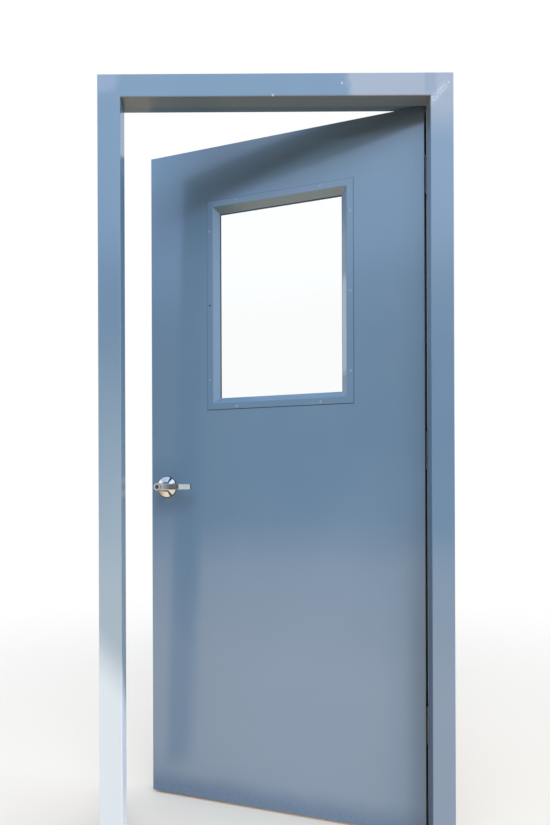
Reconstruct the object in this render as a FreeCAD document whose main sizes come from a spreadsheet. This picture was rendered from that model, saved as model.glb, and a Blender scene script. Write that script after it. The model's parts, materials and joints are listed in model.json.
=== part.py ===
# Steel utility door: a hollow steel leaf with a glazed vision panel and a lever lock,
# hung on three butt hinges in a welded single-rabbet steel frame.
# Millimetres and degrees. +X runs to the hinge side, +Y to the pull side, +Z up.
# The origin is under the hinge jamb's floor anchor, at floor level.
import FreeCAD
import Part
import Sketcher
import os

SIZES = {
    # Doorway between the rabbets
    "opening_width": 914,
    "opening_height": 2156,
    # Bent section of jambs and head
    "jamb_depth": 102.5,
    "soffit_depth": 50,
    "stop_height": 18.5,
    "pull_face": 46.5,
    "backbend": 13,
    "frame_sheet": 1.5,
    "frame_bend": 2.5,
    # Leaf
    "door_angle": 18,
    "edge_gap": 5,
    "head_gap": 8,
    "floor_gap": 10,
    "leaf_thickness": 44.5,
    "leaf_sheet": 1.2,
    "leaf_bend": 1.6,
    "edge_bevel": 2.8,
    "seam_gap": 0.4,
    "channel_leg": 20,
    "channel_play": 0.3,
    # Vision panel
    "panel_width": 482,
    "panel_height": 682,
    "panel_top_drop": 177,
    "panel_flange": 19.5,
    "panel_bevel": 18.5,
    "panel_sheet": 1.5,
    "panel_lap": 12,
    "panel_lip": 10,
    "glass_thickness": 6,
    "glass_bite": 9,
    "tape_thickness": 2.5,
    # Butt hinges
    "hinge_height": 114,
    "hinge_width": 32,
    "hinge_plate": 3.4,
    "hinge_top_drop": 128,
    "hinge_bottom_rise": 254,
    "knuckle_diameter": 13,
    "knuckle_gap": 0.3,
    "pin_diameter": 7,
    "pin_proud": 8,
    "pin_play": 0.05,
    "pin_button": 3,
    "mortise_play": 0.4,
    "backing_plate": 4,
    "backing_overrun": 28,
    "backing_width": 36,
    # Lever lock
    "lock_height": 1036,
    "backset": 60,
    "rose_diameter": 68,
    "rose_height": 11,
    "rose_rim": 3,
    "rose_collar": 34,
    "hub_diameter": 24,
    "hub_play": 0.3,
    "hub_reach": 70,
    "hub_foot": 2,
    "arm_setback": 2,
    "arm_thickness": 10,
    "arm_root_height": 22,
    "arm_reach": 110,
    "arm_bend_reach": 75,
    "arm_fall": 4,
    "arm_return": 12,
    "arm_end_height": 17,
    "arm_round": 2,
    "key_diameter": 15,
    "key_depth": 14,
    "key_recess": 0.8,
    "key_slot_width": 1.6,
    "key_slot_height": 8,
    "key_slot_depth": 5,
    "spindle_side": 8,
    "lock_bore": 54,
    # Latch and strike
    "latch_height": 16,
    "latch_depth": 12,
    "latch_throw": 12,
    "latch_tail": 20,
    "latch_play": 0.3,
    "latch_case_side": 22,
    "latch_case_length": 31,
    "faceplate_height": 57,
    "faceplate_width": 25,
    "faceplate_sheet": 2.5,
    "strike_height": 124,
    "strike_width": 32,
    "strike_sheet": 2.4,
    "strike_clearance": 4,
    "strike_lip_height": 32,
    "strike_lip_reach": 3,
    "strike_box_depth": 18,
    "strike_box_sheet": 1.2,
    # Anchors and silencers
    "anchor_sheet": 3,
    "anchor_upstand": 60,
    "anchor_play": 1,
    "floor_bolt_diameter": 10,
    "floor_bolt_spacing": 60,
    "wall_strap_height": 40,
    "wall_strap_sheet": 2,
    "wall_strap_low": 300,
    "wall_strap_drop": 256,
    "wall_bolt_diameter": 8,
    "silencer_diameter": 8,
    "silencer_height": 3,
    "silencer_low": 260,
    "silencer_drop": 296,
    # How far a cutter runs past the sheet that it cuts
    "overcut": 5,
}

# Frame planes, measured at the hinge jamb
RABBET_X = "(-size.pull_face / 2)"
SOFFIT_X = f"({RABBET_X} - size.stop_height)"
WALL_X = "(size.pull_face / 2)"
PUSH_Y = "(-size.jamb_depth / 2)"
PULL_Y = "(size.jamb_depth / 2)"
STOP_Y = f"({PUSH_Y} + size.soffit_depth)"
FRAME_TOP = "(size.opening_height + size.pull_face)"
STRIKE_JAMB_X = "(-size.opening_width - size.pull_face)"
STRIKE_RABBET_X = f"({RABBET_X} - size.opening_width)"
PIN_X = f"({RABBET_X} - size.edge_gap / 2)"
PIN_Y = f"({PULL_Y} + size.pin_proud)"

# Leaf planes, in the leaf's own frame: X from the pin, Y from mid thickness, Z from the floor
LEAF_WIDTH = "(size.opening_width - 2 * size.edge_gap)"
LEAF_HEIGHT = "(size.opening_height - size.head_gap - size.floor_gap)"
LEAF_TOP = f"(size.floor_gap + {LEAF_HEIGHT})"
HALF_LEAF = "(size.leaf_thickness / 2)"
HINGE_EDGE = "(-size.edge_gap / 2)"
LOCK_EDGE = f"({HINGE_EDGE} - {LEAF_WIDTH})"
LEAF_PIN_Y = f"({HALF_LEAF} + size.pin_proud)"
LOCK_X = f"({LOCK_EDGE} + size.backset)"
PANEL_X = f"({HINGE_EDGE} - {LEAF_WIDTH} / 2)"
PANEL_Z = f"({LEAF_TOP} - size.panel_top_drop - size.panel_height / 2)"
PANEL_BED = "(size.glass_thickness / 2 + size.tape_thickness + size.panel_sheet)"
SIGHT_WIDTH = "(size.panel_width - 2 * size.panel_flange - 2 * size.panel_bevel)"
SIGHT_HEIGHT = "(size.panel_height - 2 * size.panel_flange - 2 * size.panel_bevel)"

# Latch and strike, at mid thickness of the shut leaf
LATCH_Y = f"({PULL_Y} - {HALF_LEAF})"
STRIKE_HOLE_DEPTH = "(size.latch_depth + 2 * size.strike_clearance)"
STRIKE_HOLE_HEIGHT = "(size.latch_height + 2 * size.strike_clearance)"
LATCH_HOLE_DEPTH = "(size.latch_depth + 2 * size.latch_play)"
LATCH_HOLE_HEIGHT = "(size.latch_height + 2 * size.latch_play)"
LOCK_SHIFT = (LOCK_X, "0")
LATCH_SHIFT = ("0", "size.lock_height")

# Hinge heights, each at the hinge's lower end
HINGE_LOW = "(size.floor_gap + size.hinge_bottom_rise)"
HINGE_HIGH = f"({LEAF_TOP} - size.hinge_top_drop - size.hinge_height)"
HINGES = {
    "top": HINGE_HIGH,
    "middle": f"(({HINGE_LOW} + {HINGE_HIGH}) / 2)",
    "bottom": HINGE_LOW,
}
KNUCKLE = "((size.hinge_height - 4 * size.knuckle_gap) / 5)"
KNUCKLE_PITCH = f"({KNUCKLE} + size.knuckle_gap)"

# Where the leaf stands: swung about the pin towards the pull side
LEAF_PLACE = (
    f"placement(vector({PIN_X} - {LEAF_PIN_Y} * sin(size.door_angle * 1deg);"
    f" {PIN_Y} - {LEAF_PIN_Y} * cos(size.door_angle * 1deg); 0);"
    " rotation(vector(0; 0; 1); -size.door_angle))"
)
STRIKE_JAMB_PLACE = f"placement(vector({STRIKE_JAMB_X}; 0; 0); rotation(vector(0; 0; 1); 0))"

doc = FreeCAD.newDocument("utility_door")
pieces = []


def make_sheet():
    """Put every driving dimension into the sheet, each under its own alias."""
    sheet = doc.addObject("Spreadsheet::Sheet", "size")
    for row, (alias, value) in enumerate(SIZES.items(), 1):
        sheet.set(f"A{row}", alias)
        sheet.set(f"B{row}", str(value))
        sheet.setAlias(f"B{row}", alias)
    doc.recompute()
    return sheet


size_sheet = make_sheet()


def value(expression):
    """Give the number that an expression on the sheet stands for."""
    return float(size_sheet.evalExpression(expression))


def new_body(label, place=None):
    """Start a sub-part under the name of its node."""
    body = doc.addObject("PartDesign::Body", label)
    body.Label = label
    if place:
        body.setExpression("Placement", place)
    pieces.append(body)
    return body


def new_sketch(body, plane, at="0", shift=("0", "0")):
    """Attach a sketch to an origin plane, moved along its normal and shifted within the plane."""
    sketch = body.newObject("Sketcher::SketchObject", f"{body.Label}_sketch")
    support = next(item for item in body.Origin.OriginFeatures if item.Role == plane)
    sketch.AttachmentSupport = [(support, "")]
    sketch.MapMode = "FlatFace"
    for axis, expression in zip("xyz", (*shift, at)):
        sketch.setExpression(f"AttachmentOffset.Base.{axis}", expression)
    return sketch


def dimension(sketch, kind, places, expression):
    """Add a dimension to a sketch and bind it to the sheet."""
    number = sketch.addConstraint(Sketcher.Constraint(kind, *places, value(expression)))
    sketch.setExpression(f"Constraints[{number}]", expression)


def add_polygon(sketch, corners):
    """Draw a closed outline through corners given as pairs of expressions."""
    points = [FreeCAD.Vector(value(x), value(y), 0) for x, y in corners]
    first = sketch.GeometryCount
    count = len(points)
    for index, point in enumerate(points):
        sketch.addGeometry(Part.LineSegment(point, points[(index + 1) % count]))
    for index in range(count):
        following = first + (index + 1) % count
        sketch.addConstraint(Sketcher.Constraint("Coincident", first + index, 2, following, 1))
    for index, (x, y) in enumerate(corners):
        dimension(sketch, "DistanceX", (-1, 1, first + index, 1), x)
        dimension(sketch, "DistanceY", (-1, 1, first + index, 1), y)


def add_circle(sketch, x, y, diameter):
    """Draw a circle about a point given as two expressions."""
    centre = FreeCAD.Vector(value(x), value(y), 0)
    circle = sketch.addGeometry(Part.Circle(centre, FreeCAD.Vector(0, 0, 1), value(diameter) / 2))
    dimension(sketch, "DistanceX", (-1, 1, circle, 3), x)
    dimension(sketch, "DistanceY", (-1, 1, circle, 3), y)
    dimension(sketch, "Diameter", (circle,), diameter)


def rectangle(x_low, y_low, x_high, y_high):
    """Give the corners of a rectangle."""
    return [(x_low, y_low), (x_high, y_low), (x_high, y_high), (x_low, y_high)]


def centred(x, y, width, height):
    """Give the corners of a rectangle about a point."""
    half_width = f"({width}) / 2"
    half_height = f"({height}) / 2"
    return rectangle(
        f"{x} - {half_width}", f"{y} - {half_height}", f"{x} + {half_width}", f"{y} + {half_height}"
    )


def pad(body, sketch, length, reverse=False, symmetric=False):
    """Raise a sketch into a solid along its plane's normal."""
    feature = body.newObject("PartDesign::Pad", f"{body.Label}_pad")
    feature.Profile = sketch
    feature.Reversed = reverse
    feature.SideType = "Symmetric" if symmetric else "One side"
    feature.setExpression("Length", length)
    doc.recompute()
    return feature


def pocket(body, sketch, length=None, reverse=False):
    """Cut a sketch out of a body: to a depth against the normal, or right through both ways."""
    before = body.Tip.Shape.Volume
    feature = body.newObject("PartDesign::Pocket", f"{body.Label}_pocket")
    feature.Profile = sketch
    feature.Reversed = reverse
    if length:
        feature.setExpression("Length", length)
    else:
        feature.Type = "ThroughAll"
        feature.SideType = "Symmetric"
    doc.recompute()
    if body.Tip.Shape.Volume >= before:
        raise RuntimeError(f"a cut in {body.Label} takes nothing away")
    return feature


def revolve(body, sketch):
    """Turn a sketch about its own vertical axis."""
    feature = body.newObject("PartDesign::Revolution", f"{body.Label}_revolution")
    feature.Profile = sketch
    feature.ReferenceAxis = (sketch, ["V_Axis"])
    feature.Angle = 360
    doc.recompute()
    return feature


def loft(body, kind, start, end):
    """Add or take away the straight-sided solid between two sketches."""
    feature = body.newObject(f"PartDesign::{kind}", f"{body.Label}_loft")
    feature.Profile = start
    feature.Sections = [end]
    feature.Ruled = True
    doc.recompute()
    return feature


def repeat_up(body, features, length, count):
    """Repeat features upwards over a length."""
    feature = body.newObject("PartDesign::LinearPattern", f"{body.Label}_pattern")
    feature.Originals = features
    upward = next(item for item in body.Origin.OriginFeatures if item.Role == "Z_Axis")
    feature.Direction = (upward, [""])
    feature.setExpression("Length", length)
    feature.Occurrences = count
    body.Tip = feature
    doc.recompute()
    return feature


def fillet_edges(body, wanted, radius):
    """Round the edges of a body that a test picks."""
    base = body.Tip
    names = [f"Edge{number}" for number, edge in enumerate(base.Shape.Edges, 1) if wanted(edge)]
    feature = body.newObject("PartDesign::Fillet", f"{body.Label}_fillet")
    feature.Base = (base, names)
    feature.setExpression("Radius", radius)
    doc.recompute()
    return feature


def on_line(corners, first, second):
    """Give a test for straight edges that run through corners, seen along the third axis."""
    wanted = [(value(x), value(y)) for x, y in corners]

    def test(edge):
        ends = [vertex.Point for vertex in edge.Vertexes]
        if len(ends) != 2:
            return False
        places = [(end[first], end[second]) for end in ends]
        return any(
            all(abs(place[0] - x) < 1e-4 and abs(place[1] - y) < 1e-4 for place in places)
            for x, y in wanted
        )

    return test


# Bent section of the frame, from the push backbend round to the pull backbend
def frame_outline(rabbet, soffit, wall, inward):
    """Give the visible and the hidden corners of the frame section as (across, depth) pairs."""
    sheet = f"{inward} * size.frame_sheet"
    back = f"({wall} - {sheet})"
    seen = [
        (wall, f"{PUSH_Y} + size.backbend"),
        (wall, PUSH_Y),
        (soffit, PUSH_Y),
        (soffit, STOP_Y),
        (rabbet, STOP_Y),
        (rabbet, PULL_Y),
        (wall, PULL_Y),
        (wall, f"{PULL_Y} - size.backbend"),
    ]
    hidden = [
        (back, f"{PULL_Y} - size.backbend"),
        (back, f"{PULL_Y} - size.frame_sheet"),
        (f"{rabbet} + {sheet}", f"{PULL_Y} - size.frame_sheet"),
        (f"{rabbet} + {sheet}", f"{STOP_Y} - size.frame_sheet"),
        (f"{soffit} + {sheet}", f"{STOP_Y} - size.frame_sheet"),
        (f"{soffit} + {sheet}", f"{PUSH_Y} + size.frame_sheet"),
        (back, f"{PUSH_Y} + size.frame_sheet"),
        (back, f"{PUSH_Y} + size.backbend"),
    ]
    return seen, hidden


def bend_frame_section(body, seen, first, second):
    """Round the bends that show: the outside radius, and the inside radius in the rabbet's corner."""
    outside = [seen[1], seen[2], seen[3], seen[5], seen[6]]
    fillet_edges(body, on_line(outside, first, second), "size.frame_bend")
    fillet_edges(body, on_line([seen[4]], first, second), "size.frame_bend - size.frame_sheet")


def make_jamb(label, hand, place=None):
    """Make a jamb: hand 1 stands at the hinge side, hand -1 is its mirror image."""
    rabbet = f"({hand} * {RABBET_X})"
    soffit = f"({hand} * {SOFFIT_X})"
    wall = f"({hand} * {WALL_X})"
    body = new_body(label, place)
    seen, hidden = frame_outline(rabbet, soffit, wall, hand)
    section = new_sketch(body, "XY_Plane")
    add_polygon(section, seen + hidden)
    pad(body, section, FRAME_TOP)
    bend_frame_section(body, seen, 0, 1)
    mitre = new_sketch(body, "XZ_Plane")
    low = f"{FRAME_TOP} - size.pull_face - size.stop_height - size.overcut"
    add_polygon(mitre, [
        (f"{wall} + {hand} * size.overcut", f"{FRAME_TOP} + size.overcut"),
        (f"{soffit} - {hand} * size.overcut", low),
        (f"{soffit} - {hand} * size.overcut", f"{FRAME_TOP} + size.overcut"),
    ])
    pocket(body, mitre)
    return body


def make_hinge_jamb():
    """Make the hinge jamb with a mortise for each hinge, open at the pull face."""
    body = make_jamb("hinge_jamb", 1)
    for low in HINGES.values():
        mortise = new_sketch(body, "YZ_Plane", at=f"{RABBET_X} + size.hinge_plate")
        add_polygon(mortise, rectangle(
            f"{PULL_Y} - size.hinge_width - size.mortise_play",
            f"{low} - size.mortise_play",
            f"{PULL_Y} + size.overcut",
            f"{low} + size.hinge_height + size.mortise_play",
        ))
        pocket(body, mortise, "size.hinge_plate + size.overcut")
    return body


def make_strike_jamb():
    """Make the strike jamb with the cut-out that the strike plate lies in."""
    body = make_jamb("strike_jamb", -1, STRIKE_JAMB_PLACE)
    cutout = new_sketch(body, "YZ_Plane", at=f"-{RABBET_X} - size.strike_sheet")
    add_polygon(cutout, centred(
        LATCH_Y, "size.lock_height",
        "size.strike_width + 2 * size.mortise_play", "size.strike_height + 2 * size.mortise_play",
    ))
    pocket(body, cutout, "size.strike_sheet + size.overcut", reverse=True)
    notch = new_sketch(body, "YZ_Plane", at=f"-{RABBET_X} - size.strike_sheet")
    half_lip = "(size.strike_lip_height / 2 + size.mortise_play)"
    add_polygon(notch, rectangle(
        LATCH_Y, f"size.lock_height - {half_lip}",
        f"{PULL_Y} + size.overcut", f"size.lock_height + {half_lip}",
    ))
    pocket(body, notch, "size.strike_sheet + size.overcut", reverse=True)
    return body


def make_head():
    """Make the head: the jambs' section laid level and mitred to them at both ends."""
    left = f"({STRIKE_JAMB_X} - size.pull_face / 2)"
    length = "(size.opening_width + 2 * size.pull_face)"
    rabbet = "size.opening_height"
    soffit = "(size.opening_height - size.stop_height)"
    body = new_body("head", f"placement(vector({left}; 0; 0); rotation(vector(0; 0; 1); 0))")
    seen, hidden = frame_outline(rabbet, soffit, FRAME_TOP, 1)
    section = new_sketch(body, "YZ_Plane")
    add_polygon(section, [(depth, across) for across, depth in seen + hidden])
    pad(body, section, length)
    bend_frame_section(body, seen, 2, 1)
    low = f"{soffit} - size.overcut"
    inner = "(size.pull_face + size.stop_height + size.overcut)"
    for corner, inward in (("0", 1), (length, -1)):
        mitre = new_sketch(body, "XZ_Plane")
        add_polygon(mitre, [
            (f"{corner} - {inward} * size.overcut", f"{FRAME_TOP} + size.overcut"),
            (f"{corner} + {inward} * {inner}", low),
            (f"{corner} - {inward} * size.overcut", low),
        ])
        pocket(body, mitre)
    return body


# Anchors, strike and silencers of the frame
def make_floor_anchor(label, hand, place=None):
    """Make the angle welded into a jamb's foot, bored for two floor bolts."""
    body = new_body(label, place)
    weld = f"({hand} * ({RABBET_X} + size.frame_sheet))"
    outer = f"({hand} * ({WALL_X} - size.frame_sheet - size.anchor_play))"
    foot = new_sketch(body, "XY_Plane")
    inset = "(size.frame_bend + size.anchor_play)"
    add_polygon(foot, rectangle(weld, f"{PUSH_Y} + {inset}", outer, f"{PULL_Y} - {inset}"))
    for side in (-1, 1):
        add_circle(foot, "0", f"{side} * size.floor_bolt_spacing / 2", "size.floor_bolt_diameter")
    pad(body, foot, "size.anchor_sheet")
    upstand = new_sketch(body, "XY_Plane")
    add_polygon(upstand, rectangle(
        weld, f"{STOP_Y} + {inset}", f"{weld} + {hand} * size.anchor_sheet", f"{PULL_Y} - {inset}",
    ))
    pad(body, upstand, "size.anchor_upstand")
    return body


def make_wall_straps(label, hand, place=None):
    """Make the straps welded across a jamb's throat, each bored for a wall bolt."""
    body = new_body(label, place)
    body.AllowCompound = True
    strap = new_sketch(body, "YZ_Plane", at=f"{hand} * ({WALL_X} - size.frame_sheet)")
    middle = "(size.wall_strap_low + size.wall_strap_height / 2)"
    add_polygon(strap, rectangle(
        f"{PUSH_Y} + size.frame_bend + size.anchor_play", "size.wall_strap_low",
        f"{PULL_Y} - size.frame_bend - size.anchor_play", "size.wall_strap_low + size.wall_strap_height",
    ))
    add_circle(strap, "0", middle, "size.wall_bolt_diameter")
    plate = pad(body, strap, "size.wall_strap_sheet", reverse=hand > 0)
    repeat_up(body, [plate], "size.opening_height - size.wall_strap_drop - size.wall_strap_low", 3)
    return body


def make_strike_plate():
    """Make the strike plate: flush in the rabbet, with a lip past the pull face."""
    body = new_body("strike_plate")
    plate = new_sketch(body, "YZ_Plane", at=STRIKE_RABBET_X)
    half_lip = "size.strike_lip_height / 2"
    reach = f"{PULL_Y} + size.strike_lip_reach"
    near = f"{LATCH_Y} + size.strike_width / 2"
    far = f"{LATCH_Y} - size.strike_width / 2"
    top = "size.lock_height + size.strike_height / 2"
    bottom = "size.lock_height - size.strike_height / 2"
    add_polygon(plate, [
        (far, bottom), (near, bottom), (near, f"size.lock_height - {half_lip}"),
        (reach, f"size.lock_height - {half_lip}"), (reach, f"size.lock_height + {half_lip}"),
        (near, f"size.lock_height + {half_lip}"), (near, top), (far, top),
    ])
    pad(body, plate, "size.strike_sheet", reverse=True)
    hole = new_sketch(body, "YZ_Plane", at=STRIKE_RABBET_X)
    add_polygon(hole, centred(LATCH_Y, "size.lock_height", STRIKE_HOLE_DEPTH, STRIKE_HOLE_HEIGHT))
    pocket(body, hole)
    return body


def make_strike_box():
    """Make the dust box behind the strike plate, open towards the latch."""
    body = new_body("strike_box")
    front = f"{STRIKE_RABBET_X} - size.strike_sheet"
    wall = "2 * size.strike_box_sheet"
    outside = new_sketch(body, "YZ_Plane", at=front)
    add_polygon(outside, centred(
        LATCH_Y, "size.lock_height", f"{STRIKE_HOLE_DEPTH} + {wall}", f"{STRIKE_HOLE_HEIGHT} + {wall}",
    ))
    pad(body, outside, "size.strike_box_depth", reverse=True)
    inside = new_sketch(body, "YZ_Plane", at=front)
    add_polygon(inside, centred(LATCH_Y, "size.lock_height", STRIKE_HOLE_DEPTH, STRIKE_HOLE_HEIGHT))
    pocket(body, inside, "size.strike_box_depth - size.strike_box_sheet")
    return body


def make_silencers():
    """Make the rubber buttons on the strike jamb's stop that the leaf closes on."""
    body = new_body("silencers", STRIKE_JAMB_PLACE)
    body.AllowCompound = True
    centre = f"-{RABBET_X} + size.stop_height / 2"
    button = new_sketch(body, "XZ_Plane", at=f"-{STOP_Y}")
    add_circle(button, centre, "size.silencer_low", "size.silencer_diameter")
    disc = pad(body, button, "size.silencer_height", reverse=True)
    repeat_up(body, [disc], "size.opening_height - size.silencer_drop - size.silencer_low", 3)
    return body


# Butt hinges
def make_hinge_leaf(label, place, side, first_knuckle, knuckles):
    """Make a hinge leaf about its pin: side 1 is let into the jamb, side -1 into the door's edge."""
    body = new_body(label, place)
    near = f"({side} * size.edge_gap / 2)"
    far = f"({near} + {side} * size.hinge_plate)"
    plate = new_sketch(body, "XY_Plane")
    add_polygon(plate, rectangle(near, "-size.pin_proud - size.hinge_width", far, "-size.pin_proud"))
    pad(body, plate, "size.hinge_height")
    low = f"{first_knuckle} * {KNUCKLE_PITCH}"
    tongue = new_sketch(body, "XY_Plane", at=low)
    add_polygon(tongue, rectangle(near, "-size.pin_proud", far, "0"))
    root = pad(body, tongue, KNUCKLE)
    barrel = new_sketch(body, "XY_Plane", at=low)
    add_circle(barrel, "0", "0", "size.knuckle_diameter")
    knuckle = pad(body, barrel, KNUCKLE)
    repeat_up(body, [root, knuckle], f"2 * {KNUCKLE_PITCH} * {knuckles - 1}", knuckles)
    bore = new_sketch(body, "XY_Plane")
    add_circle(bore, "0", "0", "size.pin_diameter + 2 * size.pin_play")
    pocket(body, bore)
    return body


def make_hinge_pin(label, place):
    """Make a hinge pin with a button at each end."""
    body = new_body(label, place)
    section = new_sketch(body, "XZ_Plane")
    shank = "size.pin_diameter / 2"
    button = "size.knuckle_diameter / 2"
    top = "size.hinge_height + size.pin_button"
    add_polygon(section, [
        ("0", "-size.pin_button"), (button, "-size.pin_button"), (button, "0"), (shank, "0"),
        (shank, "size.hinge_height"), (button, "size.hinge_height"), (button, top), ("0", top),
    ])
    revolve(body, section)
    return body


def make_hinges():
    """Make the three hinges: a leaf on the frame, a leaf on the door and a pin each."""
    for name, low in HINGES.items():
        still = f"placement(vector({PIN_X}; {PIN_Y}; {low}); rotation(vector(0; 0; 1); 0))"
        swung = f"placement(vector({PIN_X}; {PIN_Y}; {low}); rotation(vector(0; 0; 1); -size.door_angle))"
        make_hinge_leaf(f"hinge_{name}_frame_leaf", still, 1, 0, 3)
        make_hinge_leaf(f"hinge_{name}_door_leaf", swung, -1, 1, 2)
        make_hinge_pin(f"hinge_{name}_pin", still)


def make_hinge_backings(label, place, face, sheet, side, y_low, y_high, mortise_low):
    """Make the plates welded behind an edge that the hinges are let into, one at each hinge."""
    body = new_body(label, place)
    body.AllowCompound = True
    inner = f"({face} + {side} * {sheet})"
    let_in = f"(size.hinge_plate - {sheet})"
    plate = new_sketch(body, "YZ_Plane", at=inner)
    add_polygon(plate, rectangle(
        y_low, f"{HINGE_LOW} - size.backing_overrun",
        y_high, f"{HINGE_LOW} + size.hinge_height + size.backing_overrun",
    ))
    block = pad(body, plate, f"size.backing_plate + {let_in}", reverse=side < 0)
    seat = new_sketch(body, "YZ_Plane", at=inner)
    add_polygon(seat, rectangle(
        mortise_low, f"{HINGE_LOW} - size.mortise_play",
        f"{y_high} + size.overcut", f"{HINGE_LOW} + size.hinge_height + size.mortise_play",
    ))
    recess = pocket(body, seat, let_in, reverse=side > 0)
    repeat_up(body, [block, recess], f"{HINGE_HIGH} - {HINGE_LOW}", 3)
    return body


# Leaf: two folded face sheets closed by channels
def lock_edge_at(depth):
    """Give the bevelled lock edge's X at a depth through the leaf."""
    return f"({LOCK_EDGE} + size.edge_bevel * (0.5 - ({depth}) / size.leaf_thickness))"


def make_face_sheet(label, side):
    """Make a face sheet with its two edges folded to the middle: side -1 is the push face."""
    body = new_body(label, LEAF_PLACE)
    face = f"({side} * {HALF_LEAF})"
    inner = f"({side} * ({HALF_LEAF} - size.leaf_sheet))"
    seam = f"({side} * size.seam_gap / 2)"
    corners = [
        (HINGE_EDGE, seam), (HINGE_EDGE, face), (lock_edge_at(face), face), (lock_edge_at(seam), seam),
        (f"{lock_edge_at(seam)} + size.leaf_sheet", seam),
        (f"{lock_edge_at(face)} + size.leaf_sheet", inner),
        (f"{HINGE_EDGE} - size.leaf_sheet", inner), (f"{HINGE_EDGE} - size.leaf_sheet", seam),
    ]
    section = new_sketch(body, "XY_Plane", at="size.floor_gap")
    add_polygon(section, corners)
    pad(body, section, LEAF_HEIGHT)
    fillet_edges(body, on_line(corners[1:3], 0, 1), "size.leaf_bend")
    openings = new_sketch(body, "XZ_Plane")
    add_polygon(openings, centred(
        PANEL_X, PANEL_Z,
        "size.panel_width - 2 * size.panel_lap", "size.panel_height - 2 * size.panel_lap",
    ))
    add_circle(openings, LOCK_X, "size.lock_height", "size.lock_bore")
    pocket(body, openings)
    for low in HINGES.values():
        mortise = new_sketch(body, "YZ_Plane", at=f"{HINGE_EDGE} + size.overcut")
        add_polygon(mortise, rectangle(
            f"{HALF_LEAF} - size.hinge_width - size.mortise_play", f"{low} - size.mortise_play",
            f"{HALF_LEAF} + size.overcut", f"{low} + size.hinge_height + size.mortise_play",
        ))
        pocket(body, mortise, "size.hinge_plate + size.overcut")
    latch = new_sketch(body, "YZ_Plane", at=f"{LOCK_EDGE} - size.overcut")
    add_polygon(latch, centred(
        "0", "size.lock_height",
        "size.faceplate_width + 2 * size.mortise_play", "size.faceplate_height + 2 * size.mortise_play",
    ))
    pocket(body, latch, "size.backset / 2", reverse=True)
    return body


def make_leaf_channel(label, end, inward):
    """Make a channel closing the leaf's top or foot, its web set in from the end."""
    body = new_body(label, LEAF_PLACE)
    left = f"({lock_edge_at(f'-{HALF_LEAF}')} + size.leaf_sheet + size.channel_play)"
    right = f"({HINGE_EDGE} - size.leaf_sheet - size.channel_play)"
    outer = f"({HALF_LEAF} - size.leaf_sheet)"
    inner = f"({HALF_LEAF} - 2 * size.leaf_sheet)"
    web = f"({end} + {inward} * size.channel_leg)"
    bed = f"({web} - {inward} * size.leaf_sheet)"
    section = new_sketch(body, "YZ_Plane", at=left)
    add_polygon(section, [
        (f"-{outer}", end), (f"-{outer}", web), (outer, web), (outer, end),
        (inner, end), (inner, bed), (f"-{inner}", bed), (f"-{inner}", end),
    ])
    pad(body, section, f"{right} - {left}")
    return body


# Vision panel
def panel_sketch(body, depth, width, height):
    """Sketch a rectangle about the vision panel's centre at a depth through the leaf."""
    sketch = new_sketch(body, "XZ_Plane", at=f"-({depth})")
    add_polygon(sketch, centred(PANEL_X, PANEL_Z, width, height))
    return sketch


def make_panel_frame(label, side):
    """Make a vision panel frame: flange on the face, bevel down to the glass, lip under the tape."""
    body = new_body(label, LEAF_PLACE)
    face = f"({side} * {HALF_LEAF})"
    front = f"({side} * ({HALF_LEAF} + size.panel_sheet))"
    bed = f"({side} * {PANEL_BED})"
    wide_mouth = "(size.panel_width - 2 * size.panel_flange)"
    tall_mouth = "(size.panel_height - 2 * size.panel_flange)"
    wall = "2 * size.panel_sheet"
    flange = panel_sketch(body, face, "size.panel_width", "size.panel_height")
    pad(body, flange, "size.panel_sheet", reverse=side > 0)
    loft(
        body, "AdditiveLoft",
        panel_sketch(body, face, f"{wide_mouth} + {wall}", f"{tall_mouth} + {wall}"),
        panel_sketch(body, bed, f"{SIGHT_WIDTH} + {wall}", f"{SIGHT_HEIGHT} + {wall}"),
    )
    lip = panel_sketch(
        body, bed, f"{SIGHT_WIDTH} + 2 * size.panel_lip", f"{SIGHT_HEIGHT} + 2 * size.panel_lip"
    )
    pad(body, lip, "size.panel_sheet", reverse=side < 0)
    loft(
        body, "SubtractiveLoft",
        panel_sketch(body, front, wide_mouth, tall_mouth),
        panel_sketch(body, bed, SIGHT_WIDTH, SIGHT_HEIGHT),
    )
    pocket(body, panel_sketch(body, "0", SIGHT_WIDTH, SIGHT_HEIGHT))
    return body


def make_glass():
    """Make the pane at the leaf's mid thickness."""
    body = new_body("window_glass", LEAF_PLACE)
    pane = panel_sketch(
        body, "0", f"{SIGHT_WIDTH} + 2 * size.glass_bite", f"{SIGHT_HEIGHT} + 2 * size.glass_bite"
    )
    pad(body, pane, "size.glass_thickness", symmetric=True)
    return body


def make_glazing_tape(label, side):
    """Make the tape between the pane and a panel frame's lip."""
    body = new_body(label, LEAF_PLACE)
    ring = panel_sketch(
        body, f"{side} * size.glass_thickness / 2",
        f"{SIGHT_WIDTH} + 2 * size.glass_bite", f"{SIGHT_HEIGHT} + 2 * size.glass_bite",
    )
    add_polygon(ring, centred(PANEL_X, PANEL_Z, SIGHT_WIDTH, SIGHT_HEIGHT))
    pad(body, ring, "size.tape_thickness", reverse=side > 0)
    return body


# Lever lock
def make_rose(label, side):
    """Make a coned rose round the lever's hub."""
    body = new_body(label, LEAF_PLACE)
    section = new_sketch(body, "XY_Plane", at="size.lock_height", shift=LOCK_SHIFT)
    rim = "size.rose_diameter / 2"
    collar = "size.rose_collar / 2"
    bore = "(size.hub_diameter / 2 + size.hub_play)"
    heights = ["0", "size.rose_rim", "size.rose_height"]
    face, step, top = [f"{side} * ({HALF_LEAF} + {height})" for height in heights]
    add_polygon(section, [(rim, face), (rim, step), (collar, top), (bore, top), (bore, face)])
    revolve(body, section)
    return body


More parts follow.
